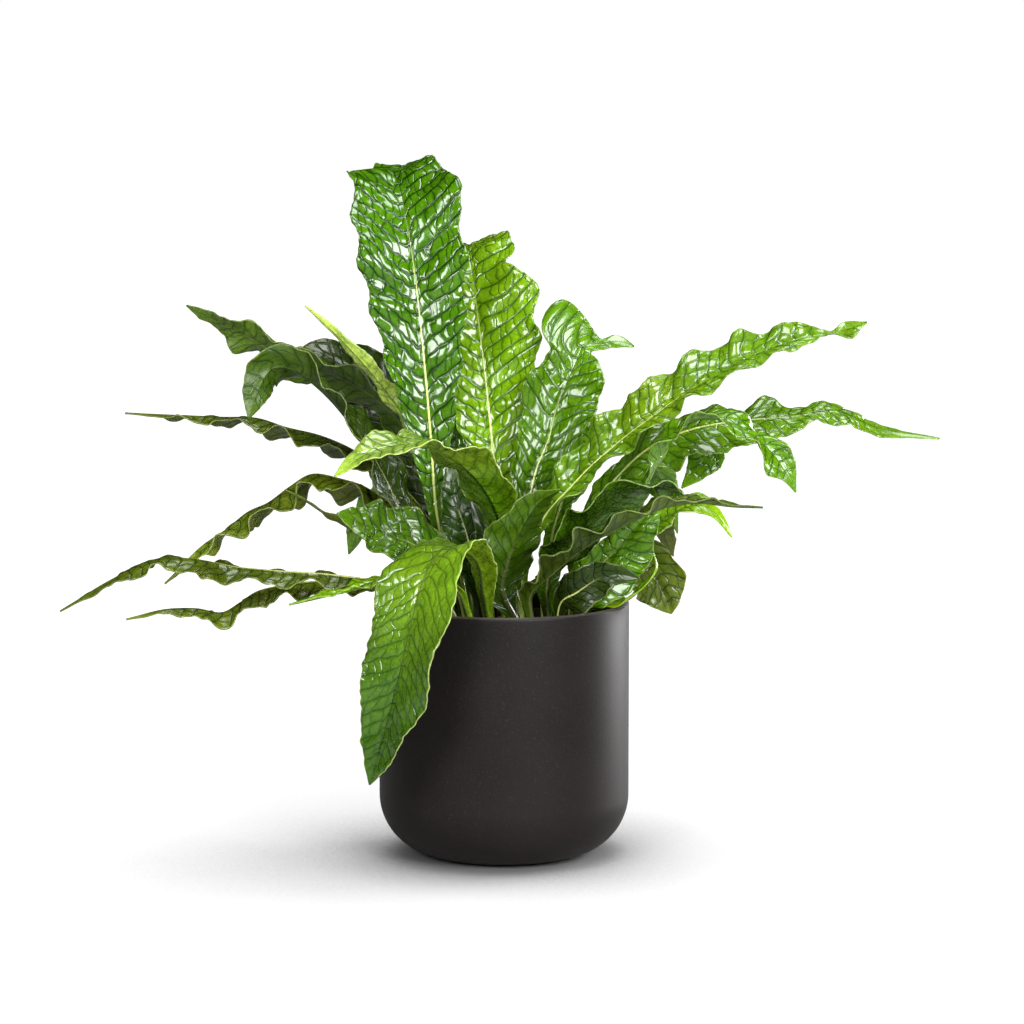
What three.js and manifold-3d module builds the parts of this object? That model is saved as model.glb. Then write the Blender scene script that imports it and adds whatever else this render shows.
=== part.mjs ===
// A potted crocodile fern: a matt black cover pot, a nursery pot standing in it, potting soil, a creeping
// rhizome and the wavy strap-shaped fronds that grow from it. Millimetres, +Z up, the origin at the centre
// of the pot's underside, +X to the viewer's right and -Y towards the viewer.
import * as THREE from "three";
import { mergeVertices } from "three/addons/utils/BufferGeometryUtils.js";
import Module from "manifold-3d";

const wasm = await Module();
wasm.setup();

// Cover pot: a straight cylinder with a large round at the foot.
const POT_DIAMETER = 150;
const POT_HEIGHT = 153;
const POT_FOOT_ROUND = 36;
const POT_WALL = 4.5;
const POT_LIP_ROUND = POT_WALL / 2;
const POT_SIDES = 40;
const POT_ROUND_STEPS = 6;
const POT_INSIDE_STEPS = 4;
const POT_LIP_STEPS = 4;
const GAP = 0.35; // between pieces that touch

// Nursery pot: a thin tapered plastic pot with a stepped foot and drain holes.
const NURSERY_RIM_RADIUS = 67;
const NURSERY_SHOULDER_RADIUS = 51;
const NURSERY_FOOT_RADIUS = 38;
const NURSERY_FOOT_HEIGHT = 10;
const NURSERY_HEIGHT = 134;
const NURSERY_WALL = 1.2;
const NURSERY_RIM_BAND = 9;
const NURSERY_RIM_STEP = 1.2;
const NURSERY_SIDES = 24;
const DRAIN_HOLES = 5;
const DRAIN_RADIUS = 5;
const DRAIN_SIDES = 10;
const DRAIN_CIRCLE = 24; // radius of the ring that the holes lie on
const DRILL_LENGTH = 6;

const NURSERY_BASE_Z = POT_WALL + GAP;
const SOIL_BELOW_RIM = 6;
const SOIL_TOP = NURSERY_BASE_Z + NURSERY_HEIGHT - SOIL_BELOW_RIM;
const SOIL_CROWN = 3; // how far the soil rises from its edge to the middle
const SOIL_EDGE_DROP = 2;

// Rhizome: creeping arms, half sunk in the soil.
const RHIZOME_RADIUS = 5;
const RHIZOME_SIDES = 6;
const RHIZOME_STEPS = 2; // between two points of an arm
const RHIZOME_REACH = 50; // of the arms from the middle
const RHIZOME_SINK = 1; // of the arm's axis below the soil's surface

// Fronds.
const STEM_WIDTH = 4.4;
const STEM_THICKNESS = 3;
const STEM_BURIED = 12;
const STEM_UPRIGHT = 4; // above the soil, before a stem begins to lean
const STALK_LENGTH = 30; // from the buried end to where the blade begins to widen
const HOLE_RADIUS = 3.4;
const HOLE_SIDES = 6;
const HOLE_BELOW_STEM = 0.5;
const HOLE_LENGTH = 1.6 * STEM_BURIED;
const EDGE_THICKNESS = 0.8;
const BLADE_THICKNESS = 0.9;
const RIB_THICKNESS_TIP = 1.3;
const RIB_TAPER = 90; // length over which the stalk thins to the rib
const FOLD_ANGLE = 14; // degrees that each half blade rises from the midrib
const STEM_STEP = 16;
const BLADE_STEP = 9.5;
const NARROW_BLADE_STEP = 12;
const NARROW = 25; // blades narrower than this have longer steps
const BROAD = 50; // blades wider than this get a finer cross-section
const CURVE_SAMPLES = 240;
const WIDEST = 0.55; // share of the length at which a blade is widest
const TIP_BLUNTNESS = 1.7; // power of the taper: a higher one gives a rounder tip
const TIP_HALF_WIDTH = 0.5;

// Ruffles: a main wave along each margin with a shorter one over it, and a slight scallop of the outline.
const MARGIN_SHIFT = 0.31; // of a wave, from the midrib to each margin
const RUFFLE_GROWTH = 1.6; // power of the distance from the midrib
const RUFFLE_SLANT = 0.5; // of the half width, by which the waves lean towards the tip
const SHORT_WAVES = 1.63; // short waves for each main one
const SHORT_HEIGHT = 0.3; // of the main wave's height
const SHORT_START = 2.3;
const SHORT_SHIFT = -0.17;
const SCALLOP_DEPTH = 0.06; // of the half width
const SCALLOP_WAVES = 1.3; // scallops for each main wave
const SCALLOP_START = 1.7;
const SCALLOP_SHIFT = 0.4;
const LOBE_SPREAD = 8; // along the margin

const WELD = 0.15; // slivers that a cut leaves are closed up to this size

// Each frond: root is where it leaves the soil, facing is the direction in degrees that its underside looks,
// and width is its full width. ruffle is [waves, height, phase]. path is its midrib above the soil, as
// [x, y, z] with a twist in degrees where it has one. Some have a stalk length, a share of the length where
// they are widest, a bluntness of the tip, a fold in degrees, or sides, which is how much wider the left and
// right halves are than the plain one. lobes are single bulges and notches of a margin, each as its share of
// the length, its side (1 is left), how much wider the half is there, and how far it is lifted.
const FRONDS = [
  {
    name: "tall_left", tone: "deep", root: [-24, 18], facing: 92, width: 66, widest: 0.66, stalk: 60,
    blunt: 2.4, ruffle: [9, 3, 0.1], lobes: [[0.83, 1, 0.08, 4], [0.89, 1, -0.05, -9], [0.76, -1, 0.24, -1]],
    path: [
      [-40, 23, 198], [-44, 26, 247], [-49, 32, 303], [-55, 42, 354], [-61, 56, 387], [-65, 84, 404],
      [-63, 112, 408], [-59, 138, 401],
    ],
  },
  {
    name: "tall_middle", tone: "young", root: [0, 28], facing: 88, width: 68, widest: 0.6, stalk: 46,
    blunt: 2.6, sides: [0.85, 1.08], ruffle: [9, 3, 0.45],
    lobes: [[0.83, -1, -0.05, -6], [0.75, -1, -0.4, 0], [0.7, -1, 0.12, 1]],
    path: [
      [-4, 38, 196], [-6, 47, 229], [-10, 60, 268], [-15, 73, 309], [-19, 86, 340], [-22, 104, 357],
      [-21, 132, 357], [-19, 158, 345],
    ],
  },
  {
    name: "upright_right", tone: "mid", root: [12, 14], facing: 84, width: 50, widest: 0.72, stalk: 30,
    blunt: 1.2, sides: [0.92, 1], ruffle: [7, 3, 0.3],
    lobes: [
      [0.864, 1, 2, 0], [0.835, 1, -0.4, 0], [0.905, 1, -1.2, 0], [0.85, -1, -0.35, 0], [0.89, -1, -0.4, 0],
    ],
    path: [
      [11, 18, 187], [15, 22, 209], [20, 26, 230], [27, 30, 247], [32, 35, 266], [38, 39, 280],
      [44, 43, 293], [48, 46, 301], [58, 50, 304], [69, 52, 304], [79, 52, 301],
    ],
  },
  {
    name: "arch_left_front", tone: "young", root: [3, -12], facing: 240, width: 42, widest: 0.58,
    stalk: 24, blunt: 2, ruffle: [6, 3, 0.6],
    path: [
      [1, -14, 173], [-1, -20, 195], [-8, -30, 217], [-21, -44, 236], [-39, -58, 249, -15],
      [-59, -74, 254, -30], [-79, -86, 250, -40], [-97, -94, 238, -40],
    ],
  },
  {
    name: "short_front", tone: "mid", root: [10, -26], facing: 290, width: 40, widest: 0.5, stalk: 24,
    ruffle: [4, 2, 0.2],
    path: [
      [-1, -29, 163], [2, -34, 180], [10, -40, 200], [21, -46, 218], [33, -54, 226],
    ],
  },
  {
    name: "drooping_front", tone: "young", root: [-8, -36], facing: 235, width: 55, widest: 0.52,
    stalk: 24, blunt: 3, sides: [1.14, 0.95], ruffle: [4, 2, 0.55],
    path: [
      [-12, -42, 164], [-15, -52, 182], [-25, -64, 192], [-36, -78, 192], [-45, -90, 179],
      [-53, -96, 152], [-60, -96, 123], [-68, -92, 93], [-78, -86, 57],
    ],
  },
  {
    name: "low_left_long", tone: "dull", root: [-26, -21], facing: 182, width: 28, stalk: 26, fold: -18,
    ruffle: [9, 3, 0.15], lobes: [[0.66, 1, 0.8, 0]],
    path: [
      [-38, -23, 157], [-63, -27, 165], [-87, -31, 170], [-108, -35, 173], [-132, -38, 175],
      [-158, -41, 178], [-181, -43, 183], [-202, -46, 184], [-218, -48, 178], [-234, -51, 170],
      [-260, -54, 154],
    ],
  },
  {
    name: "low_left_front", tone: "young", root: [-18, -29], facing: 205, width: 22,
    ruffle: [6, 2, 0.5],
    path: [
      [-28, -32, 165], [-40, -38, 170], [-54, -45, 173], [-71, -52, 172], [-85, -58, 168],
      [-101, -63, 165], [-125, -68, 160],
    ],
  },
  {
    name: "low_left_back", tone: "dull", root: [-44, 8], facing: 180, width: 30, stalk: 26, fold: -22,
    ruffle: [8, 3, 0.7], lobes: [[0.79, 1, 0.6, 0]],
    path: [
      [-43, 8, 150], [-65, 9, 158], [-89, 6, 162], [-113, 3, 163], [-134, -1, 161], [-148, -5, 158],
      [-158, -9, 152], [-168, -12, 147], [-183, -16, 150], [-202, -20, 150], [-224, -26, 145],
    ],
  },
  {
    name: "left_dipping", tone: "dull", root: [-36, 16], facing: 186, width: 38, stalk: 26, fold: -24,
    blunt: 2.2, ruffle: [8, 5, 0.35], lobes: [[0.8, 1, 0.25, 0]],
    path: [
      [-37, 20, 165], [-50, 24, 188], [-66, 27, 204], [-84, 28, 217], [-99, 28, 222], [-116, 27, 225],
      [-129, 24, 218], [-142, 20, 209], [-154, 16, 204], [-167, 12, 194], [-182, 6, 184],
      [-203, -2, 163],
    ],
  },
  {
    name: "left_level", tone: "dull", root: [-32, 25], facing: 180, width: 36, stalk: 26, fold: -17,
    ruffle: [8, 4, 0.9], lobes: [[0.52, 1, 0.35, 0], [0.62, 1, 0.25, 0]],
    path: [
      [-37, 30, 178], [-51, 34, 204], [-73, 38, 226], [-93, 40, 239], [-112, 42, 247], [-132, 43, 252],
      [-150, 42, 258], [-171, 40, 259], [-190, 38, 260], [-209, 36, 261], [-229, 34, 262],
    ],
  },
  {
    name: "left_top", tone: "mid", root: [-13, 29], facing: 218, width: 44, fold: -8, widest: 0.7,
    stalk: 30, blunt: 2.6, sides: [0.6, 0.66], ruffle: [8, 4, 0.25],
    lobes: [[0.86, -1, 0.3, 0], [0.8, -1, -0.3, 0]],
    path: [
      [-33, 39, 184], [-48, 49, 226], [-67, 56, 259], [-88, 62, 275], [-110, 66, 285], [-130, 68, 291],
      [-151, 68, 304], [-171, 67, 314], [-194, 66, 325],
    ],
  },
  {
    name: "left_hooked", tone: "deep", root: [-36, -4], facing: 150, width: 42, widest: 0.55, stalk: 24,
    blunt: 3.2, ruffle: [7, 3, 0.55],
    path: [
      [-47, -4, 175], [-59, 0, 198], [-71, 4, 224, 5], [-83, 8, 245, 15], [-96, 12, 263, 25],
      [-111, 14, 279, 35], [-126, 14, 290, 60], [-138, 12, 291, 90], [-145, 8, 283, 115],
      [-149, 4, 273, 125], [-152, 0, 262, 125],
    ],
  },
  {
    name: "left_broad", tone: "deep", root: [-10, 38], facing: 100, width: 48, widest: 0.6, stalk: 24,
    blunt: 3, ruffle: [6, 3, 0.0],
    path: [
      [-37, 54, 194], [-52, 72, 229], [-67, 88, 256], [-84, 98, 273], [-101, 104, 285],
      [-116, 107, 293], [-128, 108, 294],
    ],
  },
  {
    name: "left_edgewise", tone: "young", root: [-22, 28], facing: 225, width: 20, widest: 0.5,
    ruffle: [7, 2, 0.4],
    path: [
      [-33, 33, 185], [-45, 36, 221], [-57, 38, 254], [-72, 39, 276], [-93, 38, 301], [-110, 37, 318],
      [-120, 36, 327],
    ],
  },
  {
    name: "left_front", tone: "mid", root: [-32, -9], facing: 145, width: 40, widest: 0.6, stalk: 22,
    blunt: 2.4, ruffle: [5, 4, 0.75],
    path: [
      [-34, -10, 163], [-41, -14, 179], [-53, -19, 188], [-67, -25, 195], [-82, -31, 202],
      [-98, -39, 210],
    ],
  },
  {
    name: "left_sprig", tone: "dull", root: [-44, -2], facing: 190, width: 10, ruffle: [5, 2, 0.2],
    path: [
      [-43, 4, 158], [-62, 4, 177], [-80, 2, 188], [-95, -2, 198], [-107, -6, 206], [-118, -10, 214],
      [-130, -14, 221],
    ],
  },
  {
    name: "right_upper_long", tone: "mid", root: [12, -6], facing: 42, width: 48, stalk: 24, fold: 20,
    blunt: 2.4, widest: 0.5, sides: [0.8, 0.42], ruffle: [10, 5, 0.5],
    lobes: [
      [0.85, -1, 0.5, 0], [0.935, 1, -0.75, 0], [0.935, -1, -1.6, 0], [0.97, 1, 0.6, 0], [0.97, -1, 5, 0],
    ],
    path: [
      [6, -9, 169], [14, -11, 184], [25, -14, 205], [42, -18, 225], [61, -22, 244], [92, -28, 269],
      [116, -32, 286], [148, -34, 303], [177, -34, 313], [192, -32, 315], [213, -32, 322],
    ],
  },
  {
    name: "right_long", tone: "mid", root: [24, 6], facing: 28, width: 46, stalk: 26, fold: -12,
    widest: 0.5, blunt: 1, ruffle: [9, 4, 0.05],
    lobes: [[0.64, -1, 0.3, 0], [0.46, -1, -0.3, 0], [0.76, -1, -0.35, 0], [0.68, 1, 0.5, 2]],
    path: [
      [25, 6, 167], [43, 4, 195], [63, 2, 221], [84, 0, 242], [100, -2, 251], [117, -4, 257],
      [140, -6, 261], [170, -8, 264], [198, -8, 267], [222, -8, 257], [259, -8, 251],
    ],
  },
  {
    name: "right_hanging", tone: "mid", root: [30, 24], facing: 12, width: 30, widest: 0.7, stalk: 26,
    blunt: 2.8, fold: 5, ruffle: [6, 2, 0.4],
    path: [
      [31, 28, 173], [52, 36, 203], [73, 42, 230], [92, 44, 247], [110, 42, 255, 5], [121, 38, 250, 20],
      [123, 32, 239, 40], [117, 26, 228, 60], [107, 20, 218, 70],
    ],
  },
  {
    name: "right_arching", tone: "mid", root: [32, -6], facing: 350, width: 21, widest: 0.7, blunt: 3,
    ruffle: [7, 4, 0.65], lobes: [[0.93, 1, 0.4, 0], [0.93, -1, 0.9, 0]],
    path: [
      [51, -13, 176], [75, -25, 207], [89, -39, 238], [98, -46, 256], [110, -50, 266], [125, -53, 267],
      [141, -56, 260, 15], [155, -58, 249, 40], [164, -60, 238, 60], [170, -61, 225, 65],
    ],
  },
  {
    name: "right_jagged", tone: "deep", root: [26, -18], facing: 302, width: 46, stalk: 24, blunt: 2.4,
    fold: -6, ruffle: [6, 4, 0.3],
    path: [
      [26, -27, 172], [41, -44, 195], [55, -60, 213], [70, -69, 226], [85, -73, 230], [99, -73, 227],
      [110, -71, 219],
    ],
  },
  {
    name: "right_level", tone: "dull", root: [18, -36], facing: 318, width: 42, widest: 0.42, stalk: 24,
    ruffle: [8, 4, 0.85],
    path: [
      [15, -44, 162], [29, -58, 178], [44, -69, 192], [61, -78, 204], [80, -85, 214], [96, -90, 221],
      [113, -93, 223], [130, -93, 221], [149, -92, 220],
    ],
  },
  {
    name: "right_glossy", tone: "mid", root: [34, -27], facing: 75, width: 43, stalk: 22, blunt: 2.2,
    sides: [0.5, 1.1], ruffle: [5, 3, 0.4],
    path: [
      [31, -31, 159], [43, -34, 168], [57, -34, 179], [70, -34, 192], [82, -36, 206], [93, -36, 215],
    ],
  },
  {
    name: "right_over_rim", tone: "dull", root: [44, 0], facing: 25, width: 38, stalk: 22, widest: 0.65,
    blunt: 3, ruffle: [5, 3, 0.1],
    path: [
      [45, 1, 153], [57, -1, 162], [70, -4, 170], [81, -7, 173, 10], [90, -9, 167, 25],
      [96, -10, 157, 45], [100, -10, 146, 55],
    ],
  },
  {
    name: "right_low", tone: "deep", root: [32, -40], facing: 60, width: 26, ruffle: [4, 2, 0.6],
    path: [
      [34, -46, 158], [43, -52, 165], [54, -57, 173], [64, -60, 177], [79, -64, 175],
    ],
  },
  {
    name: "right_thin", tone: "young", root: [46, -22], facing: 350, width: 8, ruffle: [4, 1, 0.0],
    path: [
      [48, -24, 149], [58, -29, 153], [69, -33, 156], [80, -36, 164], [90, -36, 177], [88, -34, 186],
    ],
  },
  {
    name: "right_curled_tip", tone: "young", root: [42, -12], facing: 20, width: 22,
    ruffle: [5, 3, 0.9],
    path: [
      [51, -17, 161], [70, -22, 182], [87, -26, 199], [102, -30, 210], [115, -34, 214], [126, -38, 208],
      [134, -40, 196],
    ],
  },
  {
    name: "inner_left", tone: "deep", root: [-12, 6], facing: 100, width: 30, ruffle: [5, 2, 0.3],
    path: [
      [-17, 4, 167], [-22, 6, 190], [-28, 8, 210], [-32, 14, 239],
    ],
  },
  {
    name: "inner_small", tone: "young", root: [-6, -2], facing: 100, width: 16, ruffle: [3, 2, 0.7],
    path: [
      [-8, -3, 168], [-11, -1, 189], [-16, 1, 204], [-20, 3, 214],
    ],
  },
  {
    name: "back_middle", tone: "mid", root: [6, 44], facing: 86, width: 46, ruffle: [8, 5, 0.2],
    path: [
      [7, 56, 190], [9, 84, 240], [12, 124, 268], [15, 168, 262], [18, 212, 222], [20, 238, 176],
    ],
  },
  {
    name: "back_right", tone: "mid", root: [26, 38], facing: 62, width: 42, ruffle: [8, 5, 0.6],
    path: [
      [30, 48, 186], [46, 76, 226], [66, 110, 244], [86, 146, 234], [102, 178, 200], [112, 198, 168],
    ],
  },
  {
    name: "back_left", tone: "deep", root: [-20, 50], facing: 114, width: 44, ruffle: [8, 5, 0.8],
    path: [
      [-26, 66, 184], [-36, 96, 226], [-48, 130, 246], [-62, 164, 236], [-76, 194, 200],
      [-84, 212, 164],
    ],
  },
  {
    name: "back_right_low", tone: "dull", root: [40, 26], facing: 38, width: 36, ruffle: [7, 4, 0.1],
    path: [
      [46, 36, 172], [62, 54, 190], [80, 76, 196], [96, 98, 186], [106, 116, 164],
    ],
  },
  {
    name: "back_left_low", tone: "mid", root: [-39, 33], facing: 142, width: 36, ruffle: [7, 4, 0.4],
    path: [
      [-44, 44, 170], [-58, 64, 190], [-74, 86, 196], [-88, 108, 186], [-98, 126, 164],
    ],
  },
  {
    name: "back_drooping", tone: "young", root: [10, 56], facing: 96, width: 44, ruffle: [6, 4, 0.7],
    path: [
      [6, 66, 168], [2, 82, 184], [-2, 100, 180], [-5, 112, 158], [-7, 118, 130], [-9, 120, 98],
    ],
  },
];

const smooth = (x) => {
  const t = THREE.MathUtils.clamp(x, 0, 1);
  return t * t * (3 - 2 * t);
};

const wave = (turns) => Math.sin(2 * Math.PI * turns);

// The midrib of a frond as samples evenly spaced along it, each with its frame: along, across and up.
function midrib(frond) {
  const [x, y] = frond.root;
  const stops = [[x, y, SOIL_TOP - STEM_BURIED], [x, y, SOIL_TOP + STEM_UPRIGHT], ...frond.path];
  const curve = new THREE.CatmullRomCurve3(stops.map((p) => new THREE.Vector3(p[0], p[1], p[2])));
  curve.arcLengthDivisions = 4 * CURVE_SAMPLES;
  const facing = THREE.MathUtils.degToRad(frond.facing);
  let across = new THREE.Vector3(-Math.sin(facing), Math.cos(facing), 0);
  const samples = [];
  for (let i = 0; i <= CURVE_SAMPLES; i++) {
    const t = curve.getUtoTmapping(i / CURVE_SAMPLES);
    const along = curve.getTangent(t);
    across = across.clone().addScaledVector(along, -across.dot(along)).normalize();
    const stop = Math.min(Math.floor(t * (stops.length - 1)), stops.length - 2);
    const part = smooth(t * (stops.length - 1) - stop);
    const [from, to] = [stops[stop][3] ?? 0, stops[stop + 1][3] ?? 0];
    const roll = THREE.MathUtils.degToRad(THREE.MathUtils.lerp(from, to, part));
    const up = along.clone().cross(across);
    samples.push({
      at: curve.getPoint(t),
      along,
      across: across.clone().multiplyScalar(Math.cos(roll)).addScaledVector(up, Math.sin(roll)),
      up: up.clone().multiplyScalar(Math.cos(roll)).addScaledVector(across, -Math.sin(roll)),
    });
  }
  return { samples, length: curve.getLength() };
}

function frameAt(rib, u) {
  const place = THREE.MathUtils.clamp(u, 0, 1) * CURVE_SAMPLES;
  const i = Math.min(Math.floor(place), CURVE_SAMPLES - 1);
  const [a, b] = [rib.samples[i], rib.samples[i + 1]];
  const mix = (key) => a[key].clone().lerp(b[key], place - i);
  return { at: mix("at"), across: mix("across").normalize(), up: mix("up").normalize() };
}

// Half the blade's width at u along the frond: a stalk, a slow widening, and a long tapered tip.
function halfWidth(frond, rib, u) {
  const stalk = (frond.stalk ?? STALK_LENGTH) / rib.length;
  const widest = frond.widest ?? WIDEST;
  const s = THREE.MathUtils.clamp((u - stalk) / (widest - stalk), 0, 1);
  const rise = 0.5 * s + 0.5 * smooth(s);
  const past = THREE.MathUtils.clamp((u - widest) / (1 - widest), 0, 1);
  const fall = 1 - past ** (frond.blunt ?? TIP_BLUNTNESS);
  const stem = STEM_WIDTH / 2;
  return (stem + (frond.width / 2 - stem) * rise) * fall + TIP_HALF_WIDTH * (1 - fall);
}

// What the lobes and notches of one margin add at u along the frond.
function lobeAt(frond, rib, u, side) {
  const total = { growth: 0, lift: 0 };
  for (const [place, lobeSide, growth, lift] of frond.lobes ?? []) {
    if (lobeSide !== side) continue;
    const strength = Math.exp(-((((u - place) * rib.length) / LOBE_SPREAD) ** 2));
    total.growth += growth * strength;
    total.lift += lift * strength;
  }
  return total;
}

// A point on the blade's middle surface: u along the midrib, v across it from -1 to 1.
function bladePoint(frond, rib, u, v) {
  const { at, across, up } = frameAt(rib, u);
  const side = Math.sign(v);
  const out = Math.abs(v);
  const width = halfWidth(frond, rib, u);
  const [waves, height, start] = frond.ruffle;
  const slanted = waves * (u - (RUFFLE_SLANT * out * width) / rib.length);
  const main = wave(slanted + start + MARGIN_SHIFT * side);
  const short = wave(SHORT_WAVES * slanted + SHORT_START * start + SHORT_SHIFT * side);
  const strength = smooth((2 * width) / frond.width) * height;
  const lobe = lobeAt(frond, rib, u, side);
  const lift = (strength * (main + SHORT_HEIGHT * short) + lobe.lift) * out ** RUFFLE_GROWTH;
  const scallop = wave(SCALLOP_WAVES * waves * u + SCALLOP_START * start + SCALLOP_SHIFT * side);
  const [left, right] = frond.sides ?? [1, 1];
  const reach = width * out * (1 + SCALLOP_DEPTH * scallop + lobe.growth) * (side < 0 ? right : left);
  const fold = THREE.MathUtils.degToRad(frond.fold ?? FOLD_ANGLE);
  return at
    .addScaledVector(across, side * reach * Math.cos(fold))
    .addScaledVector(up, reach * Math.sin(fold) + lift);
}

function bladeNormal(frond, rib, u, v) {
  const du = 0.002;
  const dv = 0.05;
  const a = bladePoint(frond, rib, Math.min(u + du, 1), v);
  const b = bladePoint(frond, rib, Math.max(u - du, 0), v);
  const c = bladePoint(frond, rib, u, v + dv);
  const d = bladePoint(frond, rib, u, v - dv);
  return a.sub(b).cross(c.sub(d)).normalize();
}

function thicknessAt(v, ribThickness) {
  if (v === 0) return ribThickness;
  return Math.abs(v) === 1 ? EDGE_THICKNESS : BLADE_THICKNESS;
}

// One frond as a closed solid: rings of top and underside points, joined along the midrib.
function frondGeometry(frond) {
  const rib = midrib(frond);
  const strips = frond.width > BROAD ? 4 : 2;
  const stalkRings = Math.round((frond.stalk ?? STALK_LENGTH) / STEM_STEP);
  const step = frond.width < NARROW ? NARROW_BLADE_STEP : BLADE_STEP;
  const bladeRings = Math.round((rib.length - stalkRings * STEM_STEP) / step);
  const ringCount = stalkRings + bladeRings;
  const stalkEnd = (stalkRings * STEM_STEP) / rib.length;
  const across = Array.from({ length: strips + 1 }, (_, k) => (2 * k) / strips - 1);
  const size = 2 * across.length;
  const positions = [];
  for (let i = 0; i <= ringCount; i++) {
    const alongBlade = THREE.MathUtils.lerp(stalkEnd, 1, (i - stalkRings) / bladeRings);
    const u = i < stalkRings ? (i / stalkRings) * stalkEnd : alongBlade;
    const thinned = smooth((u * rib.length - STEM_BURIED) / RIB_TAPER);
    const ribThickness = THREE.MathUtils.lerp(STEM_THICKNESS, RIB_THICKNESS_TIP, thinned);
    const top = [];
    const under = [];
    for (const v of across) {
      const middle = bladePoint(frond, rib, u, v);
      const normal = bladeNormal(frond, rib, u, v);
      const half = thicknessAt(v, ribThickness) / 2;
      top.push(middle.clone().addScaledVector(normal, half));
      under.unshift(middle.clone().addScaledVector(normal, -half));
    }
    for (const point of [...top, ...under]) positions.push(...point.toArray());
  }
  const index = [];
  for (let i = 0; i < ringCount; i++) {
    for (let k = 0; k < size; k++) {
      const a = i * size + k;
      const b = i * size + ((k + 1) % size);
      const [c, d] = [b + size, a + size];
      // The underside runs the other way, so its diagonal is turned to match the top's.
      if (k < strips + 1) index.push(a, c, b, a, d, c);
      else index.push(a, d, b, b, d, c);
    }
  }
  const last = ringCount * size;
  for (let k = 0; k < strips; k++) {
    const [a, b, c, d] = [k, k + 1, size - 2 - k, size - 1 - k];
    index.push(a, b, c, a, c, d);
    index.push(last + a, last + c, last + b, last + a, last + d, last + c);
  }
  const geometry = new THREE.BufferGeometry();
  geometry.setAttribute("position", new THREE.Float32BufferAttribute(positions, 3));
  geometry.setIndex(index);
  return geometry;
}

// A closed three.js geometry as a solid for cutting and joining, and back.
function solid(geometry) {
  geometry.deleteAttribute("normal");
  geometry.deleteAttribute("uv");
  const merged = mergeVertices(geometry, 1e-3);
  const triVerts = new Uint32Array(merged.index.array);
  return new wasm.Manifold(
    new wasm.Mesh({ numProp: 3, vertProperties: merged.attributes.position.array, triVerts }),
  );
}

function geometryOf(body) {
  const mesh = body.getMesh();
  const cut = new THREE.BufferGeometry();
  cut.setAttribute("position", new THREE.BufferAttribute(mesh.vertProperties, 3));
  cut.setIndex(new THREE.BufferAttribute(mesh.triVerts, 1));
  const welded = mergeVertices(cut, WELD);
  const corners = welded.index.array;
  const kept = [];
  for (let i = 0; i < corners.length; i += 3) {
    const [a, b, c] = corners.slice(i, i + 3);
    if (a !== b && b !== c && c !== a) kept.push(a, b, c);
  }
  welded.setIndex(kept);
  return welded;
}

// A profile of [radius, height] points, turned about Z.
function turned(profile, segments) {
  const points = profile.map(([r, z]) => new THREE.Vector2(r, z));
  return new THREE.LatheGeometry(points, segments).rotateX(Math.PI / 2);
}

// Points on a quarter circle between two angles in degrees, measured from +radius towards +height.
function arc(centreR, centreZ, radius, from, to, steps) {
  return Array.from({ length: steps + 1 }, (_, i) => {
    const angle = THREE.MathUtils.degToRad(from + ((to - from) * i) / steps);
    return [centreR + radius * Math.cos(angle), centreZ + radius * Math.sin(angle)];
  });
}

// A round bar along a curve through the given points.
function bar(points, radius, sides, steps) {
  const curve = new THREE.CatmullRomCurve3(points.map((p) => new THREE.Vector3(...p)));
  const section = new THREE.Shape();
  for (let i = 0; i < sides; i++) {
    const angle = (2 * Math.PI * i) / sides;
    const corner = [radius * Math.cos(angle), radius * Math.sin(angle)];
    if (i) section.lineTo(...corner);
    else section.moveTo(...corner);
  }
  section.closePath();
  return new THREE.ExtrudeGeometry(section, { steps, extrudePath: curve });
}

function coverPot() {
  const outer = POT_DIAMETER / 2;
  const inner = outer - POT_WALL;
  const lipZ = POT_HEIGHT - POT_LIP_ROUND;
  const footR = outer - POT_FOOT_ROUND;
  const profile = [
    [0, 0],
    ...arc(footR, POT_FOOT_ROUND, POT_FOOT_ROUND, -90, 0, POT_ROUND_STEPS),
    ...arc(outer - POT_LIP_ROUND, lipZ, POT_LIP_ROUND, 0, 180, POT_LIP_STEPS),
    ...arc(footR, POT_FOOT_ROUND, inner - footR, 0, -90, POT_INSIDE_STEPS),
    [0, POT_WALL],
  ];
  return geometryOf(solid(turned(profile, POT_SIDES)));
}

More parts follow.
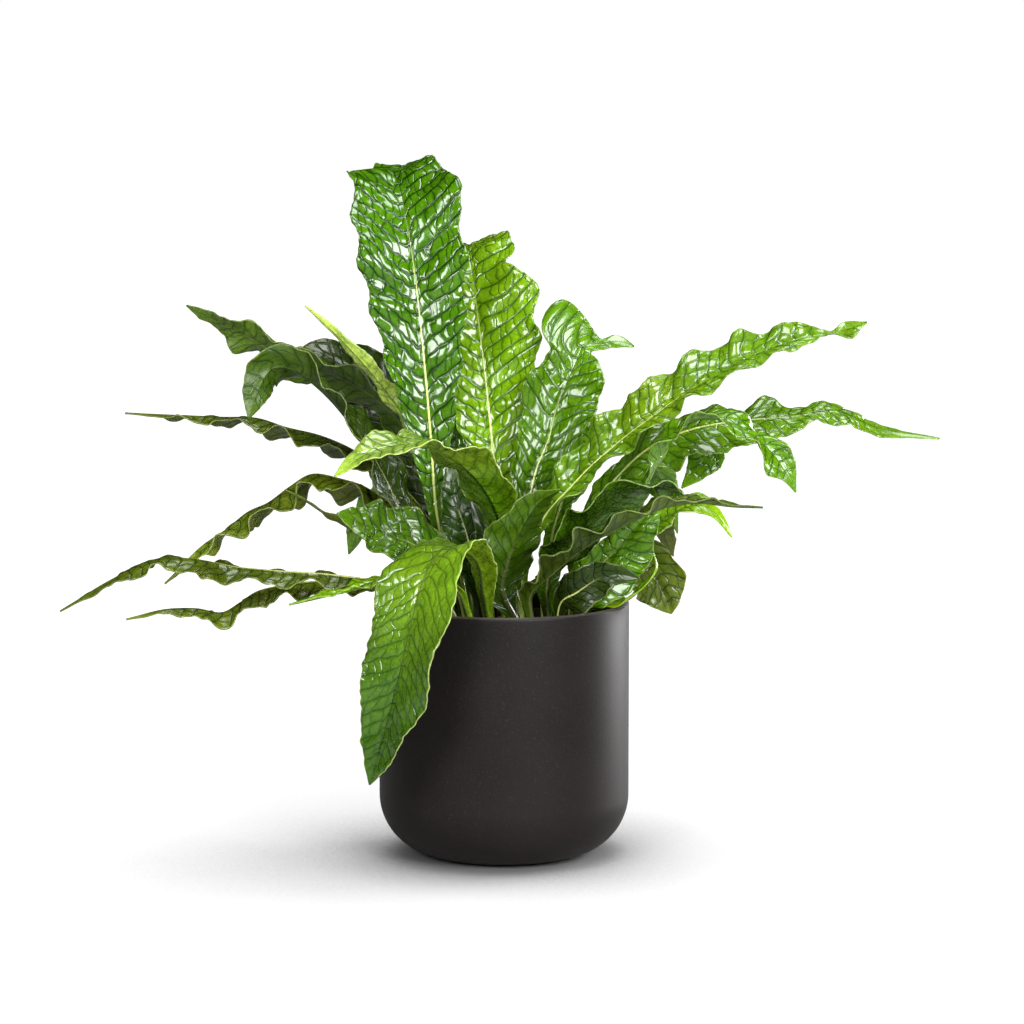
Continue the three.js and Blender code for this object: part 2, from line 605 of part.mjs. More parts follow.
function nurseryPot() {
  const rimZ = NURSERY_BASE_Z + NURSERY_HEIGHT;
  const footZ = NURSERY_BASE_Z + NURSERY_FOOT_HEIGHT;
  const shell = turned(
    [
      [0, NURSERY_BASE_Z],
      [NURSERY_FOOT_RADIUS, NURSERY_BASE_Z],
      [NURSERY_FOOT_RADIUS, footZ - NURSERY_WALL],
      [NURSERY_SHOULDER_RADIUS, footZ],
      [NURSERY_RIM_RADIUS - NURSERY_RIM_STEP, rimZ - NURSERY_RIM_BAND],
      [NURSERY_RIM_RADIUS, rimZ - NURSERY_RIM_BAND],
      [NURSERY_RIM_RADIUS, rimZ],
      [NURSERY_RIM_RADIUS - NURSERY_WALL, rimZ],
      [NURSERY_RIM_RADIUS - NURSERY_RIM_STEP - NURSERY_WALL, rimZ - NURSERY_RIM_BAND],
      [NURSERY_SHOULDER_RADIUS - NURSERY_WALL, footZ + NURSERY_WALL],
      [NURSERY_FOOT_RADIUS - NURSERY_WALL, footZ],
      [NURSERY_FOOT_RADIUS - NURSERY_WALL, NURSERY_BASE_Z + NURSERY_WALL],
      [0, NURSERY_BASE_Z + NURSERY_WALL],
    ],
    NURSERY_SIDES,
  );
  let pot = solid(shell);
  for (let i = 0; i < DRAIN_HOLES; i++) {
    const angle = (2 * Math.PI * i) / DRAIN_HOLES;
    const drill = new THREE.CylinderGeometry(DRAIN_RADIUS, DRAIN_RADIUS, DRILL_LENGTH, DRAIN_SIDES)
      .rotateX(Math.PI / 2)
      .translate(DRAIN_CIRCLE * Math.cos(angle), DRAIN_CIRCLE * Math.sin(angle), NURSERY_BASE_Z);
    pot = pot.subtract(solid(drill));
  }
  return geometryOf(pot);
}

// The arms of the rhizome, each past the stems that grow beside it and through the middle of the plant.
const ARMS = [
  [[46, -22], [30, -16], [14, -8], [0, 0], [-14, -6], [-30, -8], [-44, -4]],
  [[34, 42], [30, 26], [16, 10], [0, 0], [-2, -16], [-8, -30], [-12, -42]],
  [[8, 50], [-2, 38], [-4, 18], [1, -5]],
  [[-40, 34], [-28, 20], [-16, 8], [6, -1]],
];

function rhizomeSolid(extra) {
  const arms = ARMS.map((arm) => {
    const points = arm.map(([x, y]) => {
      const crown = SOIL_CROWN * (1 - Math.hypot(x, y) / RHIZOME_REACH);
      return [x, y, SOIL_TOP - RHIZOME_SINK + crown];
    });
    const steps = RHIZOME_STEPS * (arm.length - 1);
    return solid(bar(points, RHIZOME_RADIUS + extra, RHIZOME_SIDES, steps));
  });
  return arms.reduce((whole, arm) => whole.add(arm));
}

// The plain hole that a frond's stem stands in, along the stem's own line.
function stemHole(frond) {
  const rib = midrib(frond);
  const bottom = frameAt(rib, 0).at;
  const top = frameAt(rib, HOLE_LENGTH / rib.length).at;
  bottom.z -= HOLE_BELOW_STEM;
  return solid(bar([bottom.toArray(), top.toArray()], HOLE_RADIUS, HOLE_SIDES, 1));
}

function soilSolid() {
  const wall = NURSERY_WALL + GAP;
  const footZ = NURSERY_BASE_Z + NURSERY_FOOT_HEIGHT + NURSERY_WALL;
  const side = NURSERY_RIM_RADIUS - NURSERY_RIM_STEP;
  const slope = (side - NURSERY_SHOULDER_RADIUS) / (NURSERY_HEIGHT - NURSERY_FOOT_HEIGHT - NURSERY_RIM_BAND);
  const edge = NURSERY_SHOULDER_RADIUS + slope * (SOIL_TOP - footZ);
  const profile = [
    [0, NURSERY_BASE_Z + wall],
    [NURSERY_FOOT_RADIUS - wall, NURSERY_BASE_Z + wall],
    [NURSERY_FOOT_RADIUS - wall, footZ],
    [NURSERY_SHOULDER_RADIUS - wall, footZ + GAP],
    [Math.min(edge, side) - wall, SOIL_TOP - SOIL_EDGE_DROP],
    [0.8 * edge, SOIL_TOP + 0.3 * SOIL_CROWN],
    [0.4 * edge, SOIL_TOP + 0.8 * SOIL_CROWN],
    [0, SOIL_TOP + SOIL_CROWN],
  ];
  return solid(turned(profile, NURSERY_SIDES));
}

// A cut can leave loose scraps, which are dropped.
function largest(body) {
  return body.decompose().sort((a, b) => b.volume() - a.volume())[0];
}

const plant = new THREE.Group();

function addPiece(name, geometry, colour, roughness) {
  const material = new THREE.MeshStandardMaterial({ color: colour, roughness, metalness: 0 });
  const mesh = new THREE.Mesh(geometry, material);
  mesh.name = name;
  plant.add(mesh);
}

const TONES = { deep: 0x2c5a1c, mid: 0x4f8f22, young: 0x86b53a, dull: 0x5e7230 };
const holes = wasm.Manifold.union(FRONDS.map(stemHole));
const soil = largest(soilSolid().subtract(rhizomeSolid(GAP)).subtract(holes));
const rhizome = largest(rhizomeSolid(0).subtract(holes));

addPiece("cover_pot", coverPot(), 0x2b2725, 0.6);
addPiece("nursery_pot", nurseryPot(), 0x1c1c1c, 0.7);
addPiece("soil", geometryOf(soil), 0x2e2119, 0.95);
addPiece("rhizome", geometryOf(rhizome), 0x4a2f1d, 0.9);
for (const frond of FRONDS) {
  addPiece("frond_" + frond.name, frondGeometry(frond), TONES[frond.tone], 0.4);
}

export default plant;
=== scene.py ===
"""The looks of a potted crocodile fern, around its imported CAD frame. Metres, +Z up, -Y to the viewer."""

import math

import bpy
import numpy as np
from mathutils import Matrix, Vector


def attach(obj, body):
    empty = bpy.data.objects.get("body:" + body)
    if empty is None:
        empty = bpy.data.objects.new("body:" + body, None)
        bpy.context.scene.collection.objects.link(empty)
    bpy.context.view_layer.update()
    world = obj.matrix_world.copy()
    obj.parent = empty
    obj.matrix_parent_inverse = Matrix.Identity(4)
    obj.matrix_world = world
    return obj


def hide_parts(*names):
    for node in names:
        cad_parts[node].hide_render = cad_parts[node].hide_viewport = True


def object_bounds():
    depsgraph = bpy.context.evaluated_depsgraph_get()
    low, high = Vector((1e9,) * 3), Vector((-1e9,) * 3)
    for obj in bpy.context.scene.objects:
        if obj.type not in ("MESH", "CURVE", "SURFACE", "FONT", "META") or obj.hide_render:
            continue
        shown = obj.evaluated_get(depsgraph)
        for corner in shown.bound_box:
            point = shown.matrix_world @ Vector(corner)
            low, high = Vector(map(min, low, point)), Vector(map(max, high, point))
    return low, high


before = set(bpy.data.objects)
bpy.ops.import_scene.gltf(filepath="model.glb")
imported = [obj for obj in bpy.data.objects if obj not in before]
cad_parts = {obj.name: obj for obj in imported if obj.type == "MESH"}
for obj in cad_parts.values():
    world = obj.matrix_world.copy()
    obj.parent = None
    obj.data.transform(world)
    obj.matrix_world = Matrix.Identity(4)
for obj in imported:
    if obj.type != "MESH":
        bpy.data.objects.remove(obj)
CAD_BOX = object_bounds()
BODY = "root"
MM_PER_METRE = 1000

# Camera: its distance, its downward angle, and the photo's focal length in pixels of a 1024 px frame.
CAMERA_TARGET = Vector((0.0048, 0, 0.206))
CAMERA_DISTANCE = 2.4
CAMERA_PITCH = math.radians(7)
CAMERA_FOCAL_PX = 4016
FRAME_PX = 1024
SENSOR = 36

# Studio: the light from all round, that from behind, and what gloss mirrors of it.
AMBIENT = 0.1
AMBIENT_BEHIND = 0.7
AMBIENT_IN_GLOSS = 0.01

# Floor: how light it is to the camera and in gloss, and the glow that makes it white. Its shadow lies where
# something stands within reach of a point, on the side that the point looks to.
FLOOR_SIZE = 14
FLOOR_SEEN = 0.1
FLOOR_IN_GLOSS = 0.2
FLOOR_GLOW_SEEN = 1.0
FLOOR_GLOW_UNSEEN = 0.2
FLOOR_GLOW_IN_GLOSS = 0.1
SHADOW_REACH = 0.2
SHADOW_SAMPLES = 6
SHADOW_LOOKS_TO = (0.7, 0.33, 0.63)

# Cover pot, and the band at the top of its lip where a highlight is painted in lighter colour.
POT_RADIUS = 0.075
POT_HEIGHT = 0.153
POT_FOOT_ROUND = 0.036
POT_WALL = 0.0045
POT_SEGMENTS = 192
LIP_PAINTED_HIGHLIGHT = (POT_HEIGHT - 0.0014, POT_HEIGHT - 0.0004)

# Nursery pot.
GAP = 0.00035
RIM_RADIUS = 0.067
SHOULDER_RADIUS = 0.051
FOOT_RADIUS = 0.038
FOOT_HEIGHT = 0.010
NURSERY_HEIGHT = 0.134
NURSERY_WALL = 0.0012
RIM_BAND = 0.009
RIM_STEP = 0.0012
NURSERY_SEGMENTS = 144
DRAIN_HOLES = 5
DRAIN_RADIUS = 0.005
DRAIN_CIRCLE = 0.024
DRILL_LENGTH = 0.006
NURSERY_BASE_Z = POT_WALL + GAP

# Soil, and the crumbs that lie on it.
SOIL_BELOW_RIM = 0.006
SOIL_TOP = NURSERY_BASE_Z + NURSERY_HEIGHT - SOIL_BELOW_RIM
SOIL_CROWN = 0.003
SOIL_SETTLED = 0.001
SOIL_ROUGHNESS = 0.0006
CRUMBS = 1500
CRUMB_SEED = 7
CRUMB_SIZES = (0.0006, 0.0022)
CRUMB_MARGIN = 0.004

# Rhizome, with arms as in the CAD source.
RHIZOME_RADIUS = 0.005
RHIZOME_SINK = 0.001
RHIZOME_REACH = 0.05
KNOBS = 0.05
KNOB_SIZE = 0.0012
ROUND_END = 0.004
RHIZOME_SIDES = 28
RHIZOME_RINGS = 22
RHIZOME_SEED = 31
ARMS = [
    [(46, -22), (30, -16), (14, -8), (0, 0), (-14, -6), (-30, -8), (-44, -4)],
    [(34, 42), (30, 26), (16, 10), (0, 0), (-2, -16), (-8, -30), (-12, -42)],
    [(8, 50), (-2, 38), (-4, 18), (1, -5)],
    [(-40, 34), (-28, 20), (-16, 8), (6, -1)],
]

# Fronds: the same form as the CAD solids.
STEM_WIDTH = 0.0044
STEM_THICKNESS = 0.003
STEM_BURIED = 0.012
STEM_UPRIGHT = 0.004
EDGE_THICKNESS = 0.0006
BLADE_THICKNESS = 0.0009
RIB_THICKNESS_TIP = 0.0013
RIB_TAPER = 0.090
CURVE_SAMPLES = 240
TIP_HALF_WIDTH = 0.0005
MARGIN_SHIFT = 0.31
RUFFLE_GROWTH = 1.6
RUFFLE_SLANT = 0.5
SHORT_WAVES = 1.63
SHORT_HEIGHT = 0.3
SHORT_START = 2.3
SHORT_SHIFT = -0.17
SCALLOP_DEPTH = 0.06
SCALLOP_WAVES = 1.3
SCALLOP_START = 1.7
SCALLOP_SHIFT = 0.4
LOBE_SPREAD = 0.008

# Fronds: the finer mesh, the frill of its margins and its net of veins.
FIRST_SEED = 1000
STEP_ALONG = 0.0014
STEP_ACROSS = 0.0013
CROWD_TO_RIB = 1.15
FRILL_LENGTH = 0.012
FRILL_HEIGHT = 0.0005
FRILL_DEPTH = 0.0003
FRILL_SHIFT = 0.37
FRILL_FROM = 0.002
NET_FROM = 0.003
NARROW = 0.006
VEIN_BEND = 6.0
VEIN_SPACING = 0.0052
VEIN_SPACING_BY_WIDTH = 0.055
VEIN_SPACING_USUAL = 0.007
CELL_LENGTH = 0.0056
BAND_SHIFT = 0.5
BAND_SWAY = 0.22
BAND_SWAY_RATE = 2.4
SIDE_SHIFT = 0.35
LATERAL_WANDER = [(0.14, 0.009), (0.05, 0.002)]
CELL_WANDER = [(0.3, 0.005), (0.12, 0.0018)]
LATERAL_GROOVE = 0.0019
CELL_GROOVE = 0.0016
RELIEF_LATERAL = 0.0002
RELIEF_CELL = 0.0003
CELL_TILT = 0.0005
UNDULATION = 0.0006
UNDULATION_SCALE = 0.004
RELIEF_MARGIN = 0.003
RIB_RISE = 0.0005
RIB_HALF_WIDTH = 0.0012

# Leaf colours: what multiplies the plain colour, the midrib and margin in sRGB, what yellowed patches
# add, the size of shades and patches, how dark the veins are below, and how much light comes through.
# The vein tint is the veins' own darker green deepened with painted shade of their sunk grooves, and
# the tint beside the veins is a darker band of the leaf's own and painted shade of the bulging cells.
MOTTLE_TINT = (1.5, 1.4, 1.25)
PATCH_TINT = (0.6, 0.72, 0.55)
VEIN_AND_GROOVE_SHADE_TINT = (0.1, 0.18, 0.12)
BESIDE_VEIN_TONE_AND_SHADE_TINT = (0.42, 0.56, 0.4)
UNDERSIDE_TINT = (1.0, 0.95, 0.9)
THROUGH_TINT = (1.5, 1.6, 0.7)
RIB_COLOUR = (206, 214, 128)
MARGIN_COLOUR = (190, 200, 120)
YELLOWED = (0.35, 0.14, 0.0)
SHADE_SIZE = 0.016
YELLOW_SIZE = 0.022
VEIN_BELOW = 0.6
THROUGH_SHARE = 0.12

# The shine of each tone, how dark its veins are, and its colours in sRGB from the stalk to the tip.
TONES = {
    "deep": dict(rough=0.12, gloss=0.6, vein=0.95, colours=[(68, 104, 16), (58, 101, 5), (64, 109, 7)]),
    "mid": dict(rough=0.15, gloss=0.5, vein=0.9, colours=[(70, 106, 12), (70, 110, 7), (80, 122, 12)]),
    "young": dict(rough=0.13, gloss=0.58, vein=0.9, colours=[(98, 133, 16), (100, 139, 9), (108, 147, 18)]),
    "dull": dict(rough=0.22, gloss=0.35, vein=0.85, colours=[(64, 78, 14), (58, 72, 8), (72, 86, 18)]),
}

# How strongly the net, its relief, the pale line along the margin and the pale midrib show, the lean of
# the laterals on the left and right, and the size of the mesh's steps. Then what a leaf in the shade has;
# the colours of such leaves, given with each frond, are darkened as painted shade.
USUAL = dict(net=0.75, relief=1, margin=0.2, rib=0.6, lean=(0.6, 0.6), steps=1)
SHADED = dict(finish="dull", relief=0.6)


FRONDS = []


def metres(lengths):
    return tuple(length / MM_PER_METRE for length in lengths)


def frond(name, tone, root, facing, width, ruffle, path, widest=0.55, blunt=1.7, fold=14, stalk=30,
          sides=(1, 1), lobes=(), **look):
    """Adds a frond to the list, with lengths given in millimetres and kept in metres."""
    waves, height, start = ruffle
    FRONDS.append(dict(
        name=name, tone=tone, root=metres(root), facing=facing, width=width / MM_PER_METRE,
        ruffle=(waves, height / MM_PER_METRE, start), path=[metres(stop[:3]) + stop[3:] for stop in path],
        widest=widest, blunt=blunt, fold=fold, stalk=stalk / MM_PER_METRE, sides=sides,
        lobes=[(*lobe[:3], lobe[3] / MM_PER_METRE) for lobe in lobes], look=look,
    ))


# Each frond as in the CAD source: its tone, its root, the direction its underside faces, its width, its
# ruffle as waves, height and start, its lobes as place, side, growth and lift, and its midrib above the
# soil as (x, y, z), with a twist in degrees where it has one. Its look is what differs from the usual one.
frond("tall_left", "deep", (-24, 18), 92, 66, ruffle=(9, 3, 0.1), widest=0.66, blunt=2.4, stalk=60,
      lobes=[(0.83, 1, 0.08, 4), (0.89, 1, -0.05, -9), (0.76, -1, 0.24, -1)],
      net=1, margin=0.05, rib=1, lean=(0.8, 0.35), steps=0.75,
      path=[(-40, 23, 198), (-44, 26, 247), (-49, 32, 303), (-55, 42, 354), (-61, 56, 387), (-65, 84, 404),
            (-63, 112, 408), (-59, 138, 401)])
frond("tall_middle", "young", (0, 28), 88, 68, ruffle=(9, 3, 0.45), widest=0.6, blunt=2.6, stalk=46,
      sides=(0.85, 1.08),
      lobes=[(0.83, -1, -0.05, -6), (0.75, -1, -0.4, 0), (0.7, -1, 0.12, 1)],
      net=0.85, margin=0.1, rib=0.9, lean=(0.7, 0.3), steps=0.75,
      path=[(-4, 38, 196), (-6, 47, 229), (-10, 60, 268), (-15, 73, 309), (-19, 86, 340), (-22, 104, 357),
            (-21, 132, 357), (-19, 158, 345)])
frond("upright_right", "mid", (12, 14), 84, 50, ruffle=(7, 3, 0.3), widest=0.72, blunt=1.2,
      sides=(0.92, 1),
      lobes=[(0.864, 1, 2, 0), (0.835, 1, -0.4, 0), (0.905, 1, -1.2, 0), (0.85, -1, -0.35, 0),
             (0.89, -1, -0.4, 0)],
      net=0.7, rib=0.9, steps=0.75, colours=[(64, 98, 6), (68, 108, 4), (78, 118, 10)],
      path=[(11, 18, 187), (15, 22, 209), (20, 26, 230), (27, 30, 247), (32, 35, 266), (38, 39, 280),
            (44, 43, 293), (48, 46, 301), (58, 50, 304), (69, 52, 304), (79, 52, 301)])
frond("arch_left_front", "young", (3, -12), 240, 42, ruffle=(6, 3, 0.6), widest=0.58, blunt=2, stalk=24,
      net=0.7, margin=0.6, rib=0, steps=0.8, colours=[(58, 88, 4), (68, 102, 4), (124, 150, 56)],
      path=[(1, -14, 173), (-1, -20, 195), (-8, -30, 217), (-21, -44, 236), (-39, -58, 249, -15),
            (-59, -74, 254, -30), (-79, -86, 250, -40), (-97, -94, 238, -40)])
frond("short_front", "mid", (10, -26), 290, 40, ruffle=(4, 2, 0.2), widest=0.5, stalk=24,
      rib=0.3, colours=[(54, 82, 8), (48, 76, 4), (66, 98, 10)],
      path=[(-1, -29, 163), (2, -34, 180), (10, -40, 200), (21, -46, 218), (33, -54, 226)])
frond("drooping_front", "young", (-8, -36), 235, 55, ruffle=(4, 2, 0.55), widest=0.52, blunt=3, stalk=24,
      sides=(1.14, 0.95), net=0.55, margin=0.6, rib=0.1, steps=0.75, relief=0.8,
      colours=[(66, 94, 12), (104, 136, 18), (88, 120, 22), (56, 88, 18), (50, 82, 14)],
      path=[(-12, -42, 164), (-15, -52, 182), (-25, -64, 192), (-36, -78, 192), (-45, -90, 179),
            (-53, -96, 152), (-60, -96, 123), (-68, -92, 93), (-78, -86, 57)])
frond("low_left_long", "dull", (-26, -21), 182, 28, ruffle=(9, 3, 0.15), fold=-18, stalk=26,
      lobes=[(0.66, 1, 0.8, 0)],
      path=[(-38, -23, 157), (-63, -27, 165), (-87, -31, 170), (-108, -35, 173), (-132, -38, 175),
            (-158, -41, 178), (-181, -43, 183), (-202, -46, 184), (-218, -48, 178), (-234, -51, 170),
            (-260, -54, 154)])
frond("low_left_front", "young", (-18, -29), 205, 22, ruffle=(6, 2, 0.5),
      path=[(-28, -32, 165), (-40, -38, 170), (-54, -45, 173), (-71, -52, 172), (-85, -58, 168),
            (-101, -63, 165), (-125, -68, 160)])
frond("low_left_back", "dull", (-44, 8), 180, 30, ruffle=(8, 3, 0.7), fold=-22, stalk=26,
      lobes=[(0.79, 1, 0.6, 0)],
      colours=[(76, 90, 20), (72, 86, 14), (84, 98, 26)],
      path=[(-43, 8, 150), (-65, 9, 158), (-89, 6, 162), (-113, 3, 163), (-134, -1, 161), (-148, -5, 158),
            (-158, -9, 152), (-168, -12, 147), (-183, -16, 150), (-202, -20, 150), (-224, -26, 145)])
frond("left_dipping", "dull", (-36, 16), 186, 38, ruffle=(8, 5, 0.35), blunt=2.2, fold=-24, stalk=26,
      lobes=[(0.8, 1, 0.25, 0)],
      colours=[(84, 98, 24), (80, 94, 16), (92, 106, 30)],
      path=[(-37, 20, 165), (-50, 24, 188), (-66, 27, 204), (-84, 28, 217), (-99, 28, 222),
            (-116, 27, 225), (-129, 24, 218), (-142, 20, 209), (-154, 16, 204), (-167, 12, 194),
            (-182, 6, 184), (-203, -2, 163)])
frond("left_level", "dull", (-32, 25), 180, 36, ruffle=(8, 4, 0.9), fold=-17, stalk=26,
      lobes=[(0.52, 1, 0.35, 0), (0.62, 1, 0.25, 0)],
      path=[(-37, 30, 178), (-51, 34, 204), (-73, 38, 226), (-93, 40, 239), (-112, 42, 247),
            (-132, 43, 252), (-150, 42, 258), (-171, 40, 259), (-190, 38, 260), (-209, 36, 261),
            (-229, 34, 262)])
# Its colours are darkened as painted shade.
frond("left_top", "mid", (-13, 29), 218, 44, ruffle=(8, 4, 0.25), widest=0.7, blunt=2.6, fold=-8,
      sides=(0.6, 0.66),
      lobes=[(0.86, -1, 0.3, 0), (0.8, -1, -0.3, 0)],
      rib=0.3, **SHADED, colours=[(44, 66, 5), (46, 70, 4), (70, 98, 12)],
      path=[(-33, 39, 184), (-48, 49, 226), (-67, 56, 259), (-88, 62, 275), (-110, 66, 285),
            (-130, 68, 291), (-151, 68, 304), (-171, 67, 314), (-194, 66, 325)])
# Its colours are darkened as painted shade.
frond("left_hooked", "deep", (-36, -4), 150, 42, ruffle=(7, 3, 0.55), widest=0.55, blunt=3.2, stalk=24,
      rib=0.3, **SHADED, colours=[(34, 52, 3), (32, 52, 2), (54, 80, 8)],
      path=[(-47, -4, 175), (-59, 0, 198), (-71, 4, 224, 5), (-83, 8, 245, 15), (-96, 12, 263, 25),
            (-111, 14, 279, 35), (-126, 14, 290, 60), (-138, 12, 291, 90), (-145, 8, 283, 115),
            (-149, 4, 273, 125), (-152, 0, 262, 125)])
# Its colours are darkened as painted shade.
frond("left_broad", "deep", (-10, 38), 100, 48, ruffle=(6, 3, 0), widest=0.6, blunt=3, stalk=24,
      rib=0.3, **SHADED, colours=[(34, 48, 6), (32, 48, 4), (48, 66, 10)],
      path=[(-37, 54, 194), (-52, 72, 229), (-67, 88, 256), (-84, 98, 273), (-101, 104, 285),
            (-116, 107, 293), (-128, 108, 294)])
frond("left_edgewise", "young", (-22, 28), 225, 20, ruffle=(7, 2, 0.4), widest=0.5,
      rib=0.2, colours=[(110, 136, 40), (136, 160, 66), (146, 170, 80)],
      path=[(-33, 33, 185), (-45, 36, 221), (-57, 38, 254), (-72, 39, 276), (-93, 38, 301),
            (-110, 37, 318), (-120, 36, 327)])
frond("left_front", "mid", (-32, -9), 145, 40, ruffle=(5, 4, 0.75), widest=0.6, blunt=2.4, stalk=22,
      rib=0.3, colours=[(44, 70, 6), (50, 82, 5), (66, 98, 10)],
      path=[(-34, -10, 163), (-41, -14, 179), (-53, -19, 188), (-67, -25, 195), (-82, -31, 202),
            (-98, -39, 210)])
frond("left_sprig", "dull", (-44, -2), 190, 10, ruffle=(5, 2, 0.2),
      path=[(-43, 4, 158), (-62, 4, 177), (-80, 2, 188), (-95, -2, 198), (-107, -6, 206), (-118, -10, 214),
            (-130, -14, 221)])
frond("right_upper_long", "mid", (12, -6), 42, 48, ruffle=(10, 5, 0.5), widest=0.5, blunt=2.4, fold=20,
      stalk=24, sides=(0.8, 0.42),
      lobes=[(0.85, -1, 0.5, 0), (0.935, 1, -0.75, 0), (0.935, -1, -1.6, 0), (0.97, 1, 0.6, 0),
             (0.97, -1, 5, 0)],
      net=0.65, rib=0.9, steps=0.8, colours=[(74, 108, 12), (82, 118, 12), (84, 120, 18)],
      path=[(6, -9, 169), (14, -11, 184), (25, -14, 205), (42, -18, 225), (61, -22, 244), (92, -28, 269),
            (116, -32, 286), (148, -34, 303), (177, -34, 313), (192, -32, 315), (213, -32, 322)])
frond("right_long", "mid", (24, 6), 28, 46, ruffle=(9, 4, 0.05), widest=0.5, blunt=1, fold=-12, stalk=26,
      lobes=[(0.64, -1, 0.3, 0), (0.46, -1, -0.3, 0), (0.76, -1, -0.35, 0), (0.68, 1, 0.5, 2)],
      net=0.65, rib=0.8, steps=0.8, colours=[(66, 98, 12), (74, 110, 12), (84, 120, 20)],
      path=[(25, 6, 167), (43, 4, 195), (63, 2, 221), (84, 0, 242), (100, -2, 251), (117, -4, 257),
            (140, -6, 261), (170, -8, 264), (198, -8, 267), (222, -8, 257), (259, -8, 251)])
frond("right_hanging", "mid", (30, 24), 12, 30, ruffle=(6, 2, 0.4), widest=0.7, blunt=2.8, fold=5,
      stalk=26,
      path=[(31, 28, 173), (52, 36, 203), (73, 42, 230), (92, 44, 247), (110, 42, 255, 5),
            (121, 38, 250, 20), (123, 32, 239, 40), (117, 26, 228, 60), (107, 20, 218, 70)])
frond("right_arching", "mid", (32, -6), 350, 21, ruffle=(7, 4, 0.65), widest=0.7, blunt=3,
      lobes=[(0.93, 1, 0.4, 0), (0.93, -1, 0.9, 0)],
      path=[(51, -13, 176), (75, -25, 207), (89, -39, 238), (98, -46, 256), (110, -50, 266),
            (125, -53, 267), (141, -56, 260, 15), (155, -58, 249, 40), (164, -60, 238, 60),
            (170, -61, 225, 65)])
frond("right_jagged", "deep", (26, -18), 302, 46, ruffle=(6, 4, 0.3), blunt=2.4, fold=-6, stalk=24,
      colours=[(46, 74, 4), (48, 82, 3), (56, 92, 6)],
      path=[(26, -27, 172), (41, -44, 195), (55, -60, 213), (70, -69, 226), (85, -73, 230), (99, -73, 227),
            (110, -71, 219)])
frond("right_level", "dull", (18, -36), 318, 42, ruffle=(8, 4, 0.85), widest=0.42, stalk=24,
      rib=0.3, colours=[(46, 68, 5), (46, 66, 5), (72, 92, 22)],
      path=[(15, -44, 162), (29, -58, 178), (44, -69, 192), (61, -78, 204), (80, -85, 214), (96, -90, 221),
            (113, -93, 223), (130, -93, 221), (149, -92, 220)])
frond("right_glossy", "mid", (34, -27), 75, 43, ruffle=(5, 3, 0.4), blunt=2.2, stalk=22, sides=(0.5, 1.1),
      path=[(31, -31, 159), (43, -34, 168), (57, -34, 179), (70, -34, 192), (82, -36, 206),
            (93, -36, 215)])
frond("right_over_rim", "dull", (44, 0), 25, 38, ruffle=(5, 3, 0.1), widest=0.65, blunt=3, stalk=22,
      path=[(45, 1, 153), (57, -1, 162), (70, -4, 170), (81, -7, 173, 10), (90, -9, 167, 25),
            (96, -10, 157, 45), (100, -10, 146, 55)])
# Its colours are darkened as painted shade.
frond("right_low", "deep", (32, -40), 60, 26, ruffle=(4, 2, 0.6),
      **SHADED, colours=[(18, 30, 3), (20, 32, 3), (34, 54, 6)],
      path=[(34, -46, 158), (43, -52, 165), (54, -57, 173), (64, -60, 177), (79, -64, 175)])
frond("right_thin", "young", (46, -22), 350, 8, ruffle=(4, 1, 0),
      path=[(48, -24, 149), (58, -29, 153), (69, -33, 156), (80, -36, 164), (90, -36, 177),
            (88, -34, 186)])
frond("right_curled_tip", "young", (42, -12), 20, 22, ruffle=(5, 3, 0.9),
      path=[(51, -17, 161), (70, -22, 182), (87, -26, 199), (102, -30, 210), (115, -34, 214),
            (126, -38, 208), (134, -40, 196)])
# Its colours are darkened as painted shade.
frond("inner_left", "deep", (-12, 6), 100, 30, ruffle=(5, 2, 0.3),
      **SHADED, colours=[(34, 56, 4), (30, 54, 3), (38, 64, 4)],
      path=[(-17, 4, 167), (-22, 6, 190), (-28, 8, 210), (-32, 14, 239)])
# Its colours are darkened as painted shade.
frond("inner_small", "young", (-6, -2), 100, 16, ruffle=(3, 2, 0.7),
      **SHADED, colours=[(22, 38, 3), (20, 38, 3), (30, 50, 5)],
      path=[(-8, -3, 168), (-11, -1, 189), (-16, 1, 204), (-20, 3, 214)])
frond("back_middle", "mid", (6, 44), 86, 46, ruffle=(8, 5, 0.2),
      path=[(7, 56, 190), (9, 84, 240), (12, 124, 268), (15, 168, 262), (18, 212, 222), (20, 238, 176)])
frond("back_right", "mid", (26, 38), 62, 42, ruffle=(8, 5, 0.6),
      path=[(30, 48, 186), (46, 76, 226), (66, 110, 244), (86, 146, 234), (102, 178, 200),
            (112, 198, 168)])
frond("back_left", "deep", (-20, 50), 114, 44, ruffle=(8, 5, 0.8),
      path=[(-26, 66, 184), (-36, 96, 226), (-48, 130, 246), (-62, 164, 236), (-76, 194, 200),
            (-84, 212, 164)])
frond("back_right_low", "dull", (40, 26), 38, 36, ruffle=(7, 4, 0.1),
      path=[(46, 36, 172), (62, 54, 190), (80, 76, 196), (96, 98, 186), (106, 116, 164)])
frond("back_left_low", "mid", (-39, 33), 142, 36, ruffle=(7, 4, 0.4),
      path=[(-44, 44, 170), (-58, 64, 190), (-74, 86, 196), (-88, 108, 186), (-98, 126, 164)])
frond("back_drooping", "young", (10, 56), 96, 44, ruffle=(6, 4, 0.7),
      path=[(6, 66, 168), (2, 82, 184), (-2, 100, 180), (-5, 112, 158), (-7, 118, 130), (-9, 120, 98)])


def smooth(x):
    t = np.clip(x, 0, 1)
    return t * t * (3 - 2 * t)


def wave(turns):
    return np.sin(2 * np.pi * turns)


def linear(srgb):
    """An sRGB colour from 0 to 255 as a linear one."""
    c = np.asarray(srgb, float) / 255
    return np.where(c <= 0.04045, c / 12.92, ((c + 0.055) / 1.055) ** 2.4)


